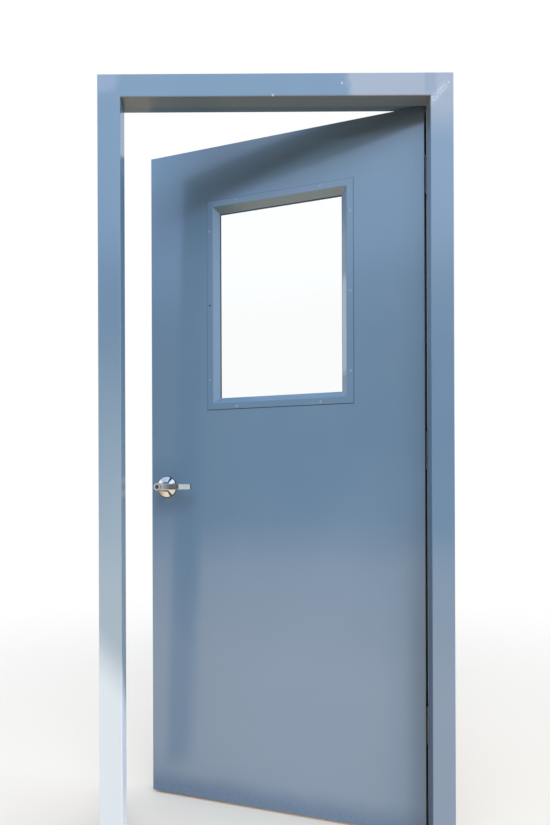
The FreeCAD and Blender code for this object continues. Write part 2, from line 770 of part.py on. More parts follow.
def make_lever_arm(body, side):
    """Make a lever's arm: it tapers outwards, leans to the leaf and turns back to it at its end."""
    plan = new_sketch(body, "XY_Plane", at="size.lock_height", shift=LOCK_SHIFT)
    root = "size.hub_reach - size.arm_setback"
    reaches = {
        "root": root,
        "bend": f"{root} - size.arm_fall",
        "end": f"{root} - size.arm_fall - size.arm_return",
    }
    front = {name: f"{side} * ({HALF_LEAF} + {reach})" for name, reach in reaches.items()}
    back = {name: f"{line} - {side} * size.arm_thickness" for name, line in front.items()}
    add_polygon(plan, [
        ("0", front["root"]), ("size.arm_bend_reach", front["bend"]), ("size.arm_reach", front["end"]),
        ("size.arm_reach", back["end"]), ("size.arm_bend_reach", back["bend"]), ("0", back["root"]),
    ])
    pad(body, plan, "size.arm_root_height", symmetric=True)
    half_root = "size.arm_root_height / 2"
    half_end = "size.arm_end_height / 2"
    for up in (-1, 1):
        taper = new_sketch(body, "XZ_Plane", shift=(LOCK_X, "size.lock_height"))
        add_polygon(taper, [
            ("0", f"{up} * {half_root}"), ("size.arm_reach", f"{up} * {half_end}"),
            ("size.arm_reach", f"{up} * ({half_root} + size.overcut)"),
            ("0", f"{up} * ({half_root} + size.overcut)"),
        ])
        pocket(body, taper)
    root_x = value(LOCK_X)
    fillet_edges(body, lambda edge: is_long_edge(edge, root_x), "size.arm_round")


def is_long_edge(edge, root_x):
    """Tell an edge that runs out along a lever's arm from one that stands across it."""
    start, end = [vertex.Point for vertex in edge.Vertexes]
    return max(start.x, end.x) > root_x and abs(start.x - end.x) > abs(start.z - end.z)


def make_lever(label, side):
    """Make a lever: an arm on a round hub that stands a little proud of it."""
    body = new_body(label, LEAF_PLACE)
    make_lever_arm(body, side)
    foot = f"{side} * ({HALF_LEAF} + size.hub_foot)"
    hub = new_sketch(body, "XZ_Plane", at=f"-({foot})")
    add_circle(hub, LOCK_X, "size.lock_height", "size.hub_diameter")
    pad(body, hub, "size.hub_reach - size.hub_foot", reverse=side > 0)
    return body


def make_push_lever():
    """Make the push side's lever, bored for its key cylinder."""
    body = make_lever("push_lever", -1)
    bore = new_sketch(body, "XZ_Plane", at=f"{HALF_LEAF} + size.hub_reach")
    add_circle(bore, LOCK_X, "size.lock_height", "size.key_diameter")
    pocket(body, bore, "size.key_depth")
    return body


def make_key_cylinder():
    """Make the key cylinder, set a little below the hub's end, with its key slot."""
    body = new_body("key_cylinder", LEAF_PLACE)
    end = f"{HALF_LEAF} + size.hub_reach - size.key_recess"
    plug = new_sketch(body, "XZ_Plane", at=end)
    add_circle(plug, LOCK_X, "size.lock_height", "size.key_diameter")
    pad(body, plug, "size.key_depth - size.key_recess", reverse=True)
    slot = new_sketch(body, "XZ_Plane", at=end)
    add_polygon(slot, centred(LOCK_X, "size.lock_height", "size.key_slot_width", "size.key_slot_height"))
    pocket(body, slot, "size.key_slot_depth")
    return body


def make_spindle():
    """Make the square spindle that joins the two levers through the leaf."""
    body = new_body("lever_spindle", LEAF_PLACE)
    section = new_sketch(body, "XZ_Plane")
    add_polygon(section, centred(LOCK_X, "size.lock_height", "size.spindle_side", "size.spindle_side"))
    pad(body, section, "size.leaf_thickness + 2 * size.hub_foot", symmetric=True)
    return body


# Latch, in the middle of the lock edge
FACEPLATE_FRONT = lock_edge_at("0")
FACEPLATE_BACK = f"({FACEPLATE_FRONT} + size.faceplate_sheet)"


def make_faceplate():
    """Make the latch's plate, flush in the lock edge, with the hole that the bolt runs through."""
    body = new_body("latch_faceplate", LEAF_PLACE)
    plate = new_sketch(body, "YZ_Plane", at=FACEPLATE_FRONT, shift=LATCH_SHIFT)
    add_polygon(plate, centred("0", "0", "size.faceplate_width", "size.faceplate_height"))
    add_polygon(plate, centred("0", "0", LATCH_HOLE_DEPTH, LATCH_HOLE_HEIGHT))
    pad(body, plate, "size.faceplate_sheet")
    return body


def make_latch_case():
    """Make the square case behind the faceplate that guides the bolt."""
    body = new_body("latch_case", LEAF_PLACE)
    tube = new_sketch(body, "YZ_Plane", at=FACEPLATE_BACK, shift=LATCH_SHIFT)
    add_polygon(tube, centred("0", "0", "size.latch_case_side", "size.latch_case_side"))
    add_polygon(tube, centred("0", "0", LATCH_HOLE_DEPTH, LATCH_HOLE_HEIGHT))
    pad(body, tube, "size.latch_case_length")
    return body


def make_latch_bolt():
    """Make the spring bolt, with its nose bevelled towards the strike."""
    body = new_body("latch_bolt", LEAF_PLACE)
    plan = new_sketch(body, "XY_Plane", at="size.lock_height")
    tip = f"{FACEPLATE_FRONT} - size.latch_throw"
    tail = f"{FACEPLATE_FRONT} + size.latch_tail"
    half = "size.latch_depth / 2"
    add_polygon(plan, [
        (tip, half), (tip, f"{half} - size.latch_depth / 4"), (FACEPLATE_FRONT, f"-{half}"),
        (tail, f"-{half}"), (tail, half),
    ])
    pad(body, plan, "size.latch_height", symmetric=True)
    return body


def build():
    """Make every sub-part in order."""
    make_hinge_jamb()
    make_strike_jamb()
    make_head()
    make_floor_anchor("hinge_jamb_floor_anchor", 1)
    make_floor_anchor("strike_jamb_floor_anchor", -1, STRIKE_JAMB_PLACE)
    make_wall_straps("hinge_jamb_wall_straps", 1)
    make_wall_straps("strike_jamb_wall_straps", -1, STRIKE_JAMB_PLACE)
    make_strike_plate()
    make_strike_box()
    make_silencers()
    make_hinges()
    make_hinge_backings(
        "hinge_jamb_backings", None, RABBET_X, "size.frame_sheet", 1,
        f"{PULL_Y} - size.frame_bend - size.backing_width", f"{PULL_Y} - size.frame_bend",
        f"{PULL_Y} - size.hinge_width - size.mortise_play",
    )
    make_hinge_backings(
        "leaf_hinge_backings", LEAF_PLACE, HINGE_EDGE, "size.leaf_sheet", -1,
        f"{HALF_LEAF} - size.leaf_bend - size.backing_width", f"{HALF_LEAF} - size.leaf_bend",
        f"{HALF_LEAF} - size.hinge_width - size.mortise_play",
    )
    make_face_sheet("push_face_sheet", -1)
    make_face_sheet("pull_face_sheet", 1)
    make_leaf_channel("leaf_top_channel", LEAF_TOP, -1)
    make_leaf_channel("leaf_foot_channel", "size.floor_gap", 1)
    make_panel_frame("push_window_frame", -1)
    make_panel_frame("pull_window_frame", 1)
    make_glass()
    make_glazing_tape("push_glazing_tape", -1)
    make_glazing_tape("pull_glazing_tape", 1)
    make_rose("push_rose", -1)
    make_rose("pull_rose", 1)
    make_push_lever()
    make_lever("pull_lever", 1)
    make_key_cylinder()
    make_spindle()
    make_faceplate()
    make_latch_case()
    make_latch_bolt()


def check():
    """Stop if any object failed or any sub-part is empty or broken."""
    for item in doc.Objects:
        if "Invalid" in item.State or "Error" in item.State:
            raise RuntimeError(f"{item.Label} did not build: {item.State}")
    for piece in pieces:
        if piece.Shape.isNull() or not piece.Shape.isValid() or not piece.Shape.Solids:
            raise RuntimeError(f"{piece.Label} has no sound solid")


def export():
    """Write each sub-part to its own file."""
    os.makedirs("parts", exist_ok=True)
    for piece in pieces:
        piece.Shape.exportStep(f"parts/{piece.Label}.step")


build()
doc.recompute()
check()
export()
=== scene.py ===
import json
import logging
import math
from dataclasses import dataclass
from enum import Enum
from typing import Any, Callable, Iterable, Mapping, Optional, Union

import bmesh
import bpy
from mathutils import Matrix, Vector


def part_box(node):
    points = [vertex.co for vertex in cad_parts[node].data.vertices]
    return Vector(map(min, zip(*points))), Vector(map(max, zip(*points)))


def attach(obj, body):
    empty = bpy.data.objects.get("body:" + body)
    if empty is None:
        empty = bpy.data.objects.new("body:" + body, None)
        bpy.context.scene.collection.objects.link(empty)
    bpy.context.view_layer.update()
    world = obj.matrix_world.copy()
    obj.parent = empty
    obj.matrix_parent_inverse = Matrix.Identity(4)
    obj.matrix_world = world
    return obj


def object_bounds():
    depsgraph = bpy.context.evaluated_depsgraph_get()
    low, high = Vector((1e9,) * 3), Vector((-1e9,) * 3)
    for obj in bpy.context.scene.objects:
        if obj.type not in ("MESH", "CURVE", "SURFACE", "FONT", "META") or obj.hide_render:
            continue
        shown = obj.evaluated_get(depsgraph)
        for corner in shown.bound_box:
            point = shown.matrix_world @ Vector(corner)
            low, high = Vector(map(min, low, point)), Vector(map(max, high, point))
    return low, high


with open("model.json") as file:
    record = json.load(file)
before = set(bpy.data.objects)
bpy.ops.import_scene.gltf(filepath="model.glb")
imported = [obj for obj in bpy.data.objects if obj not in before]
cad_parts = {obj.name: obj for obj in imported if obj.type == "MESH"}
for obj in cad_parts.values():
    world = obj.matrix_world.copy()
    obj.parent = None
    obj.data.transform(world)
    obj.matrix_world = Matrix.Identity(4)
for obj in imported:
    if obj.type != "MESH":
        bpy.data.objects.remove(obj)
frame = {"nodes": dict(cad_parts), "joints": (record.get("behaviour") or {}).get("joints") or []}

LOG = logging.getLogger("utility_door")
CAD_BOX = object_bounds()
NOISE_MIDDLE = 0.5

Colour = tuple[float, float, float]
Point = tuple[float, float, float]
Pair = tuple[float, float]
Span = tuple[float, float]
Seat = tuple[Vector, Vector]
Operand = Union["Signal", float]
Sockets = Mapping[Union[int, str], Any]
Mask = Callable[["Spot"], "Signal"]

WHITE: Colour = (1.0, 1.0, 1.0)


# Shader graphs

class Signal:
    """A socket of a shader graph that takes part in Python arithmetic."""

    def __init__(self, graph: "Graph", socket: bpy.types.NodeSocket) -> None:
        """Wrap a socket of a graph."""
        self.graph = graph
        self.socket = socket

    def _math(self, operation: str, left: Operand, right: Operand) -> "Signal":
        """Put a Math node on two operands."""
        return self.graph.node("ShaderNodeMath", {"operation": operation}, {0: left, 1: right})

    def __add__(self, other: Operand) -> "Signal":
        """Add a value."""
        return self._math("ADD", self, other)

    def __radd__(self, other: Operand) -> "Signal":
        """Add to a value."""
        return self._math("ADD", other, self)

    def __sub__(self, other: Operand) -> "Signal":
        """Take a value away."""
        return self._math("SUBTRACT", self, other)

    def __rsub__(self, other: Operand) -> "Signal":
        """Take from a value."""
        return self._math("SUBTRACT", other, self)

    def __mul__(self, other: Operand) -> "Signal":
        """Multiply by a value."""
        return self._math("MULTIPLY", self, other)

    def __rmul__(self, other: Operand) -> "Signal":
        """Multiply a value."""
        return self._math("MULTIPLY", other, self)

    def __or__(self, other: Operand) -> "Signal":
        """Give the larger of two values."""
        return self._math("MAXIMUM", self, other)

    def __ror__(self, other: Operand) -> "Signal":
        """Give the larger of two values, the first of them plain."""
        return self._math("MAXIMUM", other, self)

    def step(self, low: float, high: float, base: float = 0.0) -> "Signal":
        """Rise smoothly from 0 at one value to 1 at another.

        Args:
            low: value at which the result is 0.
            high: value at which the result is 1, above or below the first.
            base: value that both are counted from.

        Returns:
            The smooth step.
        """
        rising = high > low
        start, end = (low, high) if rising else (high, low)
        stepped = self.graph.node(
            "ShaderNodeMapRange",
            {"interpolation_type": "SMOOTHSTEP"},
            {"Value": self, "From Min": base + start, "From Max": base + end},
        )
        return stepped if rising else 1.0 - stepped

    def near(self, level: float, reach: float, fade: float) -> "Signal":
        """Mark the values near a level.

        Args:
            level: the level.
            reach: how far from it the mark is full.
            fade: how much further it fades to 0.

        Returns:
            The mark, from 0 to 1.
        """
        off = self - level
        return off.step(-reach - fade, -reach) * off.step(reach + fade, reach)

    def within(self, reach: float) -> "Signal":
        """Mark the values up to a reach, fading out at twice that reach."""
        return self.step(reach * 2, reach)


class Graph:
    """A node tree that is written as expressions."""

    def __init__(self, tree: bpy.types.NodeTree) -> None:
        """Empty a tree and take it over."""
        self.tree = tree
        tree.nodes.clear()

    def node(
        self,
        kind: str,
        settings: Optional[Mapping[str, Any]] = None,
        inputs: Optional[Sockets] = None,
        output: Union[int, str] = 0,
    ) -> Signal:
        """Add a node.

        Args:
            kind: the node's type.
            settings: its own settings, set first.
            inputs: the values or links of its sockets, by number or name.
            output: the socket to go on with.

        Returns:
            The chosen output, or the first input of a node that has no output.
        """
        made = self.tree.nodes.new(kind)
        for name, setting in (settings or {}).items():
            setattr(made, name, setting)
        for key, given in (inputs or {}).items():
            socket = made.inputs[key]
            if isinstance(given, Signal):
                self.tree.links.new(given.socket, socket)
            elif isinstance(given, tuple) and socket.type == "RGBA":
                socket.default_value = (*given, 1.0)
            else:
                socket.default_value = given
        return Signal(self, made.outputs[output] if len(made.outputs) else made.inputs[0])

    def place(self) -> Signal:
        """Give the point on the piece, in the part's frame at rest."""
        return self.node("ShaderNodeTexCoord", output="Object")

    def axis(self, vector: Signal, axis: str) -> Signal:
        """Give one coordinate of a vector."""
        return self.node("ShaderNodeSeparateXYZ", inputs={0: vector}, output=axis)

    def vector_math(self, operation: str, inputs: Sockets, output: str = "Vector") -> Signal:
        """Put a Vector Math node on its operands."""
        return self.node("ShaderNodeVectorMath", {"operation": operation}, inputs, output)

    def along(self, vector: Signal, direction: Point, start: Point) -> Signal:
        """Measure a point along a direction.

        Args:
            vector: the point.
            direction: unit direction to measure along.
            start: point where the measure is 0.

        Returns:
            The distance in metres.
        """
        offset = self.vector_math("SUBTRACT", {0: vector, 1: start})
        return self.vector_math("DOT_PRODUCT", {0: offset, 1: direction}, "Value")

    def distance(self, vector: Signal, centre: Point) -> Signal:
        """Measure how far a point is from a centre."""
        return self.vector_math("DISTANCE", {0: vector, 1: centre}, "Value")

    def noise(self, vector: Signal, scale: float, detail: float = 2.0, roughness: float = 0.5) -> Signal:
        """Give soft noise from 0 to 1.

        Args:
            vector: where it is read.
            scale: waves in a metre.
            detail: octaves of finer noise.
            roughness: share of each finer octave.

        Returns:
            The noise.
        """
        return self.node(
            "ShaderNodeTexNoise",
            inputs={"Vector": vector, "Scale": scale, "Detail": detail, "Roughness": roughness},
        )

    def blend(self, first: Union[Signal, Colour], second: Union[Signal, Colour], share: Operand) -> Signal:
        """Mix two colours.

        Args:
            first: colour at share 0.
            second: colour at share 1.
            share: how much of the second.

        Returns:
            The mixed colour.
        """
        return self.node("ShaderNodeMix", {"data_type": "RGBA"}, {0: share, 6: first, 7: second}, 2)

    def bump(self, height: Signal) -> Signal:
        """Turn a height in metres into a normal."""
        return self.node("ShaderNodeBump", inputs={"Strength": 1.0, "Distance": 1.0, "Height": height})

    def ray(self, kind: str) -> Signal:
        """Tell whether a ray is of a kind."""
        return self.node("ShaderNodeLightPath", output=f"Is {kind} Ray")

    def seen(self) -> Signal:
        """Tell whether a ray comes straight from the eye or on through the glass."""
        return self.ray("Camera") | self.ray("Transmission")

    def principled(self, inputs: Sockets) -> Signal:
        """Add a Principled shader."""
        return self.node("ShaderNodeBsdfPrincipled", inputs=inputs)

    def surface(self, shader: Signal) -> None:
        """Send a shader to the material's output."""
        self.node("ShaderNodeOutputMaterial", inputs={"Surface": shader})


def new_graph(name: str) -> tuple[bpy.types.Material, Graph]:
    """Start a material.

    Args:
        name: the material's name.

    Returns:
        The material and its empty graph.
    """
    material = bpy.data.materials.new(name)
    material.use_nodes = True
    return material, Graph(material.node_tree)


# Frame of the swung leaf

def corners(node: str) -> list[Vector]:
    """Give the corner points of a node's mesh."""
    return [vertex.co for vertex in frame["nodes"][node].data.vertices]


@dataclass(frozen=True)
class LeafAxes:
    """Directions of the leaf where it stands: along it from the pin, out of its push face, and up."""

    pin: Point
    along: Point
    out: Point

    @classmethod
    def from_joints(cls, joints: Iterable[Mapping[str, Any]]) -> "LeafAxes":
        """Read the directions from the joints.

        Args:
            joints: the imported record's joints.

        Returns:
            The leaf's directions.
        """
        by_name = {joint["name"]: joint for joint in joints}
        pin = by_name["door_swing"]["pos_m"]
        through = by_name["lever_turn"]["axis"]
        return cls(tuple(pin), (-through[1], through[0], 0.0), (-through[0], -through[1], 0.0))

    def reach(self, point: Vector, direction: Point) -> float:
        """Measure a point from the pin along a direction."""
        return (point - Vector(self.pin)).dot(Vector(direction))

    def span(self, node: str, direction: Point) -> Span:
        """Measure a node along a direction: its lowest and highest distance from the pin."""
        reaches = [self.reach(corner, direction) for corner in corners(node)]
        return min(reaches), max(reaches)

    def at(self, along: float, out: float, up: float) -> Vector:
        """Give the point at distances along the leaf, out of it and above the floor."""
        flat = Vector(self.pin) + Vector(self.along) * along + Vector(self.out) * out
        return Vector((flat.x, flat.y, up))


LEAF = LeafAxes.from_joints(frame["joints"])


# Marks on a surface

@dataclass(frozen=True)
class Waver:
    """Soft noise about 0: its waves in a metre, its octaves and its full swing."""

    waves: float
    detail: float
    swing: float


@dataclass(frozen=True)
class Spot:
    """The point of a surface that is shaded, with measures of where it lies."""

    graph: Graph
    place: Signal

    @property
    def x(self) -> Signal:
        """Give how far it lies to the hinge side."""
        return self.graph.axis(self.place, "X")

    @property
    def y(self) -> Signal:
        """Give how far it lies to the pull side."""
        return self.graph.axis(self.place, "Y")

    @property
    def z(self) -> Signal:
        """Give its height."""
        return self.graph.axis(self.place, "Z")

    @property
    def along(self) -> Signal:
        """Give its distance from the pin along the leaf."""
        return self.graph.along(self.place, LEAF.along, LEAF.pin)

    @property
    def out(self) -> Signal:
        """Give its distance from the pin out of the push face."""
        return self.graph.along(self.place, LEAF.out, LEAF.pin)

    def distance(self, centre: Iterable[float]) -> Signal:
        """Give its distance from a centre."""
        return self.graph.distance(self.place, tuple(centre))

    def noise(self, scale: float, detail: float = 2.0, roughness: float = 0.5) -> Signal:
        """Give soft noise there, from 0 to 1."""
        return self.graph.noise(self.place, scale, detail, roughness)

    def waver(self, waver: Waver) -> Signal:
        """Give soft noise there, about 0."""
        return (self.noise(waver.waves, waver.detail) - NOISE_MIDDLE) * waver.swing


@dataclass(frozen=True)
class Patch:
    """A place where a finish differs, or where light or shade is painted on a surface."""

    colour: Colour
    share: float
    mask: Mask
    matt: float = 0.12


@dataclass(frozen=True)
class Lean:
    """A twist or bow in a surface: from a start on, its normal leans ever more in one direction."""

    direction: Point
    start: Point
    onward: Point
    slope: float

    def bend(self, spot: Spot, normal: Signal) -> Signal:
        """Lean a normal.

        Args:
            spot: the point on the piece.
            normal: the normal to lean.

        Returns:
            The leaning normal.
        """
        graph = spot.graph
        share = (graph.along(spot.place, self.onward, self.start) | 0.0) * self.slope
        aside = graph.node(
            "ShaderNodeVectorTransform",
            {"vector_type": "VECTOR", "convert_from": "OBJECT", "convert_to": "WORLD"},
            {0: self.direction},
        )
        push = graph.vector_math("SCALE", {0: aside, "Scale": share})
        return graph.vector_math("NORMALIZE", {0: graph.vector_math("ADD", {0: normal, 1: push})})


@dataclass(frozen=True)
class Chip:
    """A knock that bares the primer."""

    centre: Point
    radius: float


# Finishes

@dataclass(frozen=True)
class Enamel:
    """Semi-gloss enamel on sheet steel, rolled on, with orange peel and slow swells in the sheet."""

    name: str
    colour: Colour = (0.140, 0.228, 0.300)
    worn: Colour = (0.176, 0.264, 0.336)
    primer: Colour = (0.50, 0.51, 0.50)
    roughness: float = 0.15
    refraction: float = 1.58
    cloud_waves: float = 2.3
    cloud_span: Span = (0.25, 0.8)
    cloud_share: float = 0.7
    cloud_matt: float = 0.05
    grain_waves: float = 160.0
    grain_matt: float = 0.04
    chip_waves: float = 420.0
    chip_core: float = 0.7
    chip_matt: float = 0.3
    peel: Waver = Waver(330.0, 1.0, 0.8e-5)
    swell: Waver = Waver(2.6, 1.0, 4.0e-4)
    lean: Optional[Lean] = None
    patches: tuple[Patch, ...] = ()
    chips: tuple[Chip, ...] = ()

    def material(self) -> bpy.types.Material:
        """Build the paint with its patches and chips.

        Returns:
            The material.
        """
        material, graph = new_graph(self.name)
        spot = Spot(graph, graph.place())
        cloud = spot.noise(self.cloud_waves, detail=3.0)
        grain = spot.noise(self.grain_waves)
        wear = cloud.step(*self.cloud_span) * self.cloud_share + grain * (1.0 - self.cloud_share)
        colour = graph.blend(self.colour, self.worn, wear)
        roughness = self.roughness + (cloud - NOISE_MIDDLE) * self.cloud_matt
        roughness = roughness + (grain - NOISE_MIDDLE) * self.grain_matt
        for patch in self.patches:
            mask = patch.mask(spot) * patch.share
            colour = graph.blend(colour, patch.colour, mask)
            roughness = roughness + mask * patch.matt
        for chip in self.chips:
            ragged = spot.distance(chip.centre) + spot.waver(Waver(self.chip_waves, 3.0, chip.radius))
            bared = ragged.step(chip.radius, chip.radius * self.chip_core)
            colour = graph.blend(colour, self.primer, bared)
            roughness = roughness + bared * self.chip_matt
        normal = graph.bump(spot.waver(self.peel) + spot.waver(self.swell))
        if self.lean:
            normal = self.lean.bend(spot, normal)
        graph.surface(graph.principled({
            "Base Color": colour, "Roughness": roughness, "IOR": self.refraction, "Normal": normal,
        }))
        return material


class Grain(Enum):
    """How a metal was finished."""

    POLISHED = ((60.0, 60.0, 60.0), 1.0e-7)
    BRUSHED = ((40.0, 40.0, 900.0), 2.5e-6)
    ROLLED = ((25.0, 25.0, 120.0), 6.0e-6)

    def __init__(self, waves: Point, depth: float) -> None:
        """Keep the marks' waves in a metre along each axis, and their depth."""
        self.waves = waves
        self.depth = depth


@dataclass(frozen=True)
class Metal:
    """Bare or plated metal with the marks of its finishing and of use."""

    name: str
    colour: Colour
    tarnish: Colour
    roughness: float
    grain: Grain
    stain: float = 0.35
    lean: Optional[Lean] = None
    dull: Optional[Patch] = None
    stain_waves: float = 38.0
    stain_span: Span = (0.45, 0.75)
    stain_matt: float = 0.08
    line_matt: float = 0.12

    def material(self) -> bpy.types.Material:
        """Build the metal with its grain and stains.

        Returns:
            The material.
        """
        material, graph = new_graph(self.name)
        spot = Spot(graph, graph.place())
        stretched = graph.vector_math("MULTIPLY", {0: spot.place, 1: self.grain.waves})
        lines = graph.noise(stretched, 1.0, detail=3.0)
        stain = spot.noise(self.stain_waves, detail=4.0, roughness=0.6).step(*self.stain_span)
        normal = graph.bump(lines * self.grain.depth)
        colour = graph.blend(self.colour, self.tarnish, stain * self.stain)
        if self.lean:
            normal = self.lean.bend(spot, normal)
        if self.dull:
            colour = graph.blend(colour, self.dull.colour, self.dull.mask(spot) * self.dull.share)
        roughness = self.roughness + (lines - NOISE_MIDDLE) * self.line_matt + stain * self.stain_matt
        graph.surface(graph.principled({
            "Base Color": colour, "Metallic": 1.0, "Roughness": roughness, "Normal": normal,
        }))
        return material


@dataclass(frozen=True)
class Glass:
    """Clear float glass with a faint film of dust."""

    name: str
    tint: Colour = (0.975, 0.992, 0.985)
    refraction: float = 1.45
    film_waves: float = 9.0
    film_span: Span = (0.35, 0.8)
    film_matt: float = 0.035

    def material(self) -> bpy.types.Material:
        """Build the glass with its film.

        Returns:
            The material.
        """
        material, graph = new_graph(self.name)
        film = graph.noise(graph.place(), self.film_waves, detail=4.0, roughness=0.6).step(*self.film_span)
        graph.surface(graph.principled({
            "Base Color": self.tint, "Roughness": film * self.film_matt,
            "IOR": self.refraction, "Transmission Weight": 1.0,
        }))
        return material


@dataclass(frozen=True)
class Rubber:
    """Matt rubber or foam with pores."""

    name: str
    colour: Colour
    dusty: Colour
    roughness: float = 0.72
    dust_waves: float = 70.0
    dust_span: Span = (0.4, 0.8)
    dust_share: float = 0.5
    dust_matt: float = 0.15
    pore_waves: float = 1500.0
    pore_depth: float = 2.0e-5

    def material(self) -> bpy.types.Material:
        """Build the rubber with its dust and pores.

        Returns:
            The material.
        """
        material, graph = new_graph(self.name)
        spot = Spot(graph, graph.place())
        dust = spot.noise(self.dust_waves, detail=4.0).step(*self.dust_span)
        graph.surface(graph.principled({
            "Base Color": graph.blend(self.colour, self.dusty, dust * self.dust_share),
            "Roughness": self.roughness + dust * self.dust_matt,
            "Normal": graph.bump(spot.noise(self.pore_waves) * self.pore_depth),
        }))
        return material


CHROME = Metal("polished_chrome", (0.45, 0.425, 0.385), (0.26, 0.25, 0.23), 0.05, Grain.POLISHED, 0.45)
SATIN = Metal("satin_chrome", (0.50, 0.51, 0.52), (0.34, 0.34, 0.33), 0.30, Grain.BRUSHED, 0.3)
HINGE_STEEL = Metal("hinge_steel", (0.42, 0.42, 0.43), (0.20, 0.18, 0.16), 0.36, Grain.BRUSHED)
ZINC = Metal("zinc_steel", (0.52, 0.53, 0.53), (0.33, 0.34, 0.34), 0.42, Grain.ROLLED, 0.6)
KEY_BRASS = Metal("key_brass", (0.20, 0.18, 0.145), (0.05, 0.047, 0.04), 0.20, Grain.BRUSHED, 0.8)
SCREW_STEEL = Metal("screw_steel", (0.29, 0.355, 0.385), (0.11, 0.11, 0.115), 0.36, Grain.ROLLED, 0.7)
WINDOW_GLASS = Glass("window_glass")
TAPE = Rubber("glazing_tape", (0.06, 0.06, 0.058), (0.11, 0.108, 0.10))
SILENCER = Rubber("silencer_rubber", (0.10, 0.10, 0.10), (0.22, 0.21, 0.20))
# black strip that stands in for the shade in the hinge gap
GAP_SHADE_RUBBER = Rubber("gap_shade_rubber", (0.006, 0.006, 0.006), (0.014, 0.014, 0.013))
# black disc that stands in for the shade inside an empty screw hole
DARK_HOLE = Rubber("bare_screw_hole", (0.004, 0.004, 0.004), (0.012, 0.011, 0.010))


# Small pieces

@dataclass(frozen=True)
class Screw:
    """A cross-recessed screw head, low and domed, that sits on a face; each next cross is turned on."""

    radius: float = 0.0038
    dome: float = 0.0006
    recess_reach: float = 0.58
    recess_width: float = 0.30
    recess_depth: float = 0.0011
    rings: int = 14
    turns: int = 40
    cross_turn: float = 2.4

    def height(self, across: float, up: float) -> float:
        """Give the head's height at a place, as shares of its radius.

        Args:
            across: place along one arm of the cross.
            up: place along the other arm.

        Returns:
            The height above the seat.
        """
        reach = math.hypot(across, up)
        crown = self.dome * (1.0 - reach * reach)
        in_cross = min(abs(across), abs(up)) < self.recess_width / 2 and reach < self.recess_reach
        return crown - self.recess_depth * (1.0 - reach / self.recess_reach) if in_cross else crown

    def add(self, mesh: bmesh.types.BMesh, seat: Vector, out: Vector, turn: float) -> None:
        """Add the head to a mesh.

        Args:
            mesh: the mesh to add to.
            seat: centre of the head on its face.
            out: the face's outward direction.
            turn: angle of the cross.
        """
        basis = out.to_track_quat("Z", "Y").to_matrix() @ Matrix.Rotation(turn, 3, "Z")
        centre = mesh.verts.new(seat + basis @ Vector((0.0, 0.0, self.height(0.0, 0.0))))
        previous: list[bmesh.types.BMVert] = []
        for ring in range(1, self.rings + 1):
            share = ring / self.rings
            current = []
            for step in range(self.turns):
                angle = math.tau * step / self.turns
                across, up = share * math.cos(angle), share * math.sin(angle)
                local = Vector((across * self.radius, up * self.radius, self.height(across, up)))
                current.append(mesh.verts.new(seat + basis @ local))
            for step in range(self.turns):
                following = (step + 1) % self.turns
                if previous:
                    mesh.faces.new((previous[step], current[step], current[following], previous[following]))
                else:
                    mesh.faces.new((centre, current[step], current[following]))
            previous = current


def finish_mesh(name: str, mesh: bmesh.types.BMesh) -> bpy.types.Object:
    """Make an object of a mesh.

    Args:
        name: the piece's name.
        mesh: its mesh, which is used up.

    Returns:
        The new object, in the scene.
    """
    data = bpy.data.meshes.new(name)
    mesh.normal_update()
    mesh.to_mesh(data)
    mesh.free()
    for polygon in data.polygons:
        polygon.use_smooth = True
    piece = bpy.data.objects.new(name, data)
    bpy.context.scene.collection.objects.link(piece)
    return piece


def place_piece(piece: bpy.types.Object, body: str, material: bpy.types.Material) -> None:
    """Finish a piece and let it ride.

    Args:
        piece: the piece.
        body: the body that it moves with.
        material: its finish.
    """
    piece.data.materials.append(material)
    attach(piece, body)
    LOG.info("%s rides %s", piece.name, body)


def dress(nodes: Iterable[str], material: bpy.types.Material) -> None:
    """Give nodes a finish.

    Args:
        nodes: the nodes' names.
        material: the finish.
    """
    for name in nodes:
        piece = frame["nodes"][name]
        if not piece.material_slots:
            piece.data.materials.append(material)
        for slot in piece.material_slots:
            slot.material = material
        LOG.info("%s in %s", name, material.name)


def screws(name: str, head: Screw, seats: Iterable[Seat]) -> bpy.types.Object:
    """Make a set of screw heads as one piece.

    Args:
        name: the piece's name.
        head: the kind of screw.
        seats: centre and outward direction of each.

    Returns:
        The piece.
    """
    mesh = bmesh.new()
    for number, (seat, out) in enumerate(seats):
        head.add(mesh, seat, out, turn=head.cross_turn * number)
    return finish_mesh(name, mesh)


# Sub-assemblies

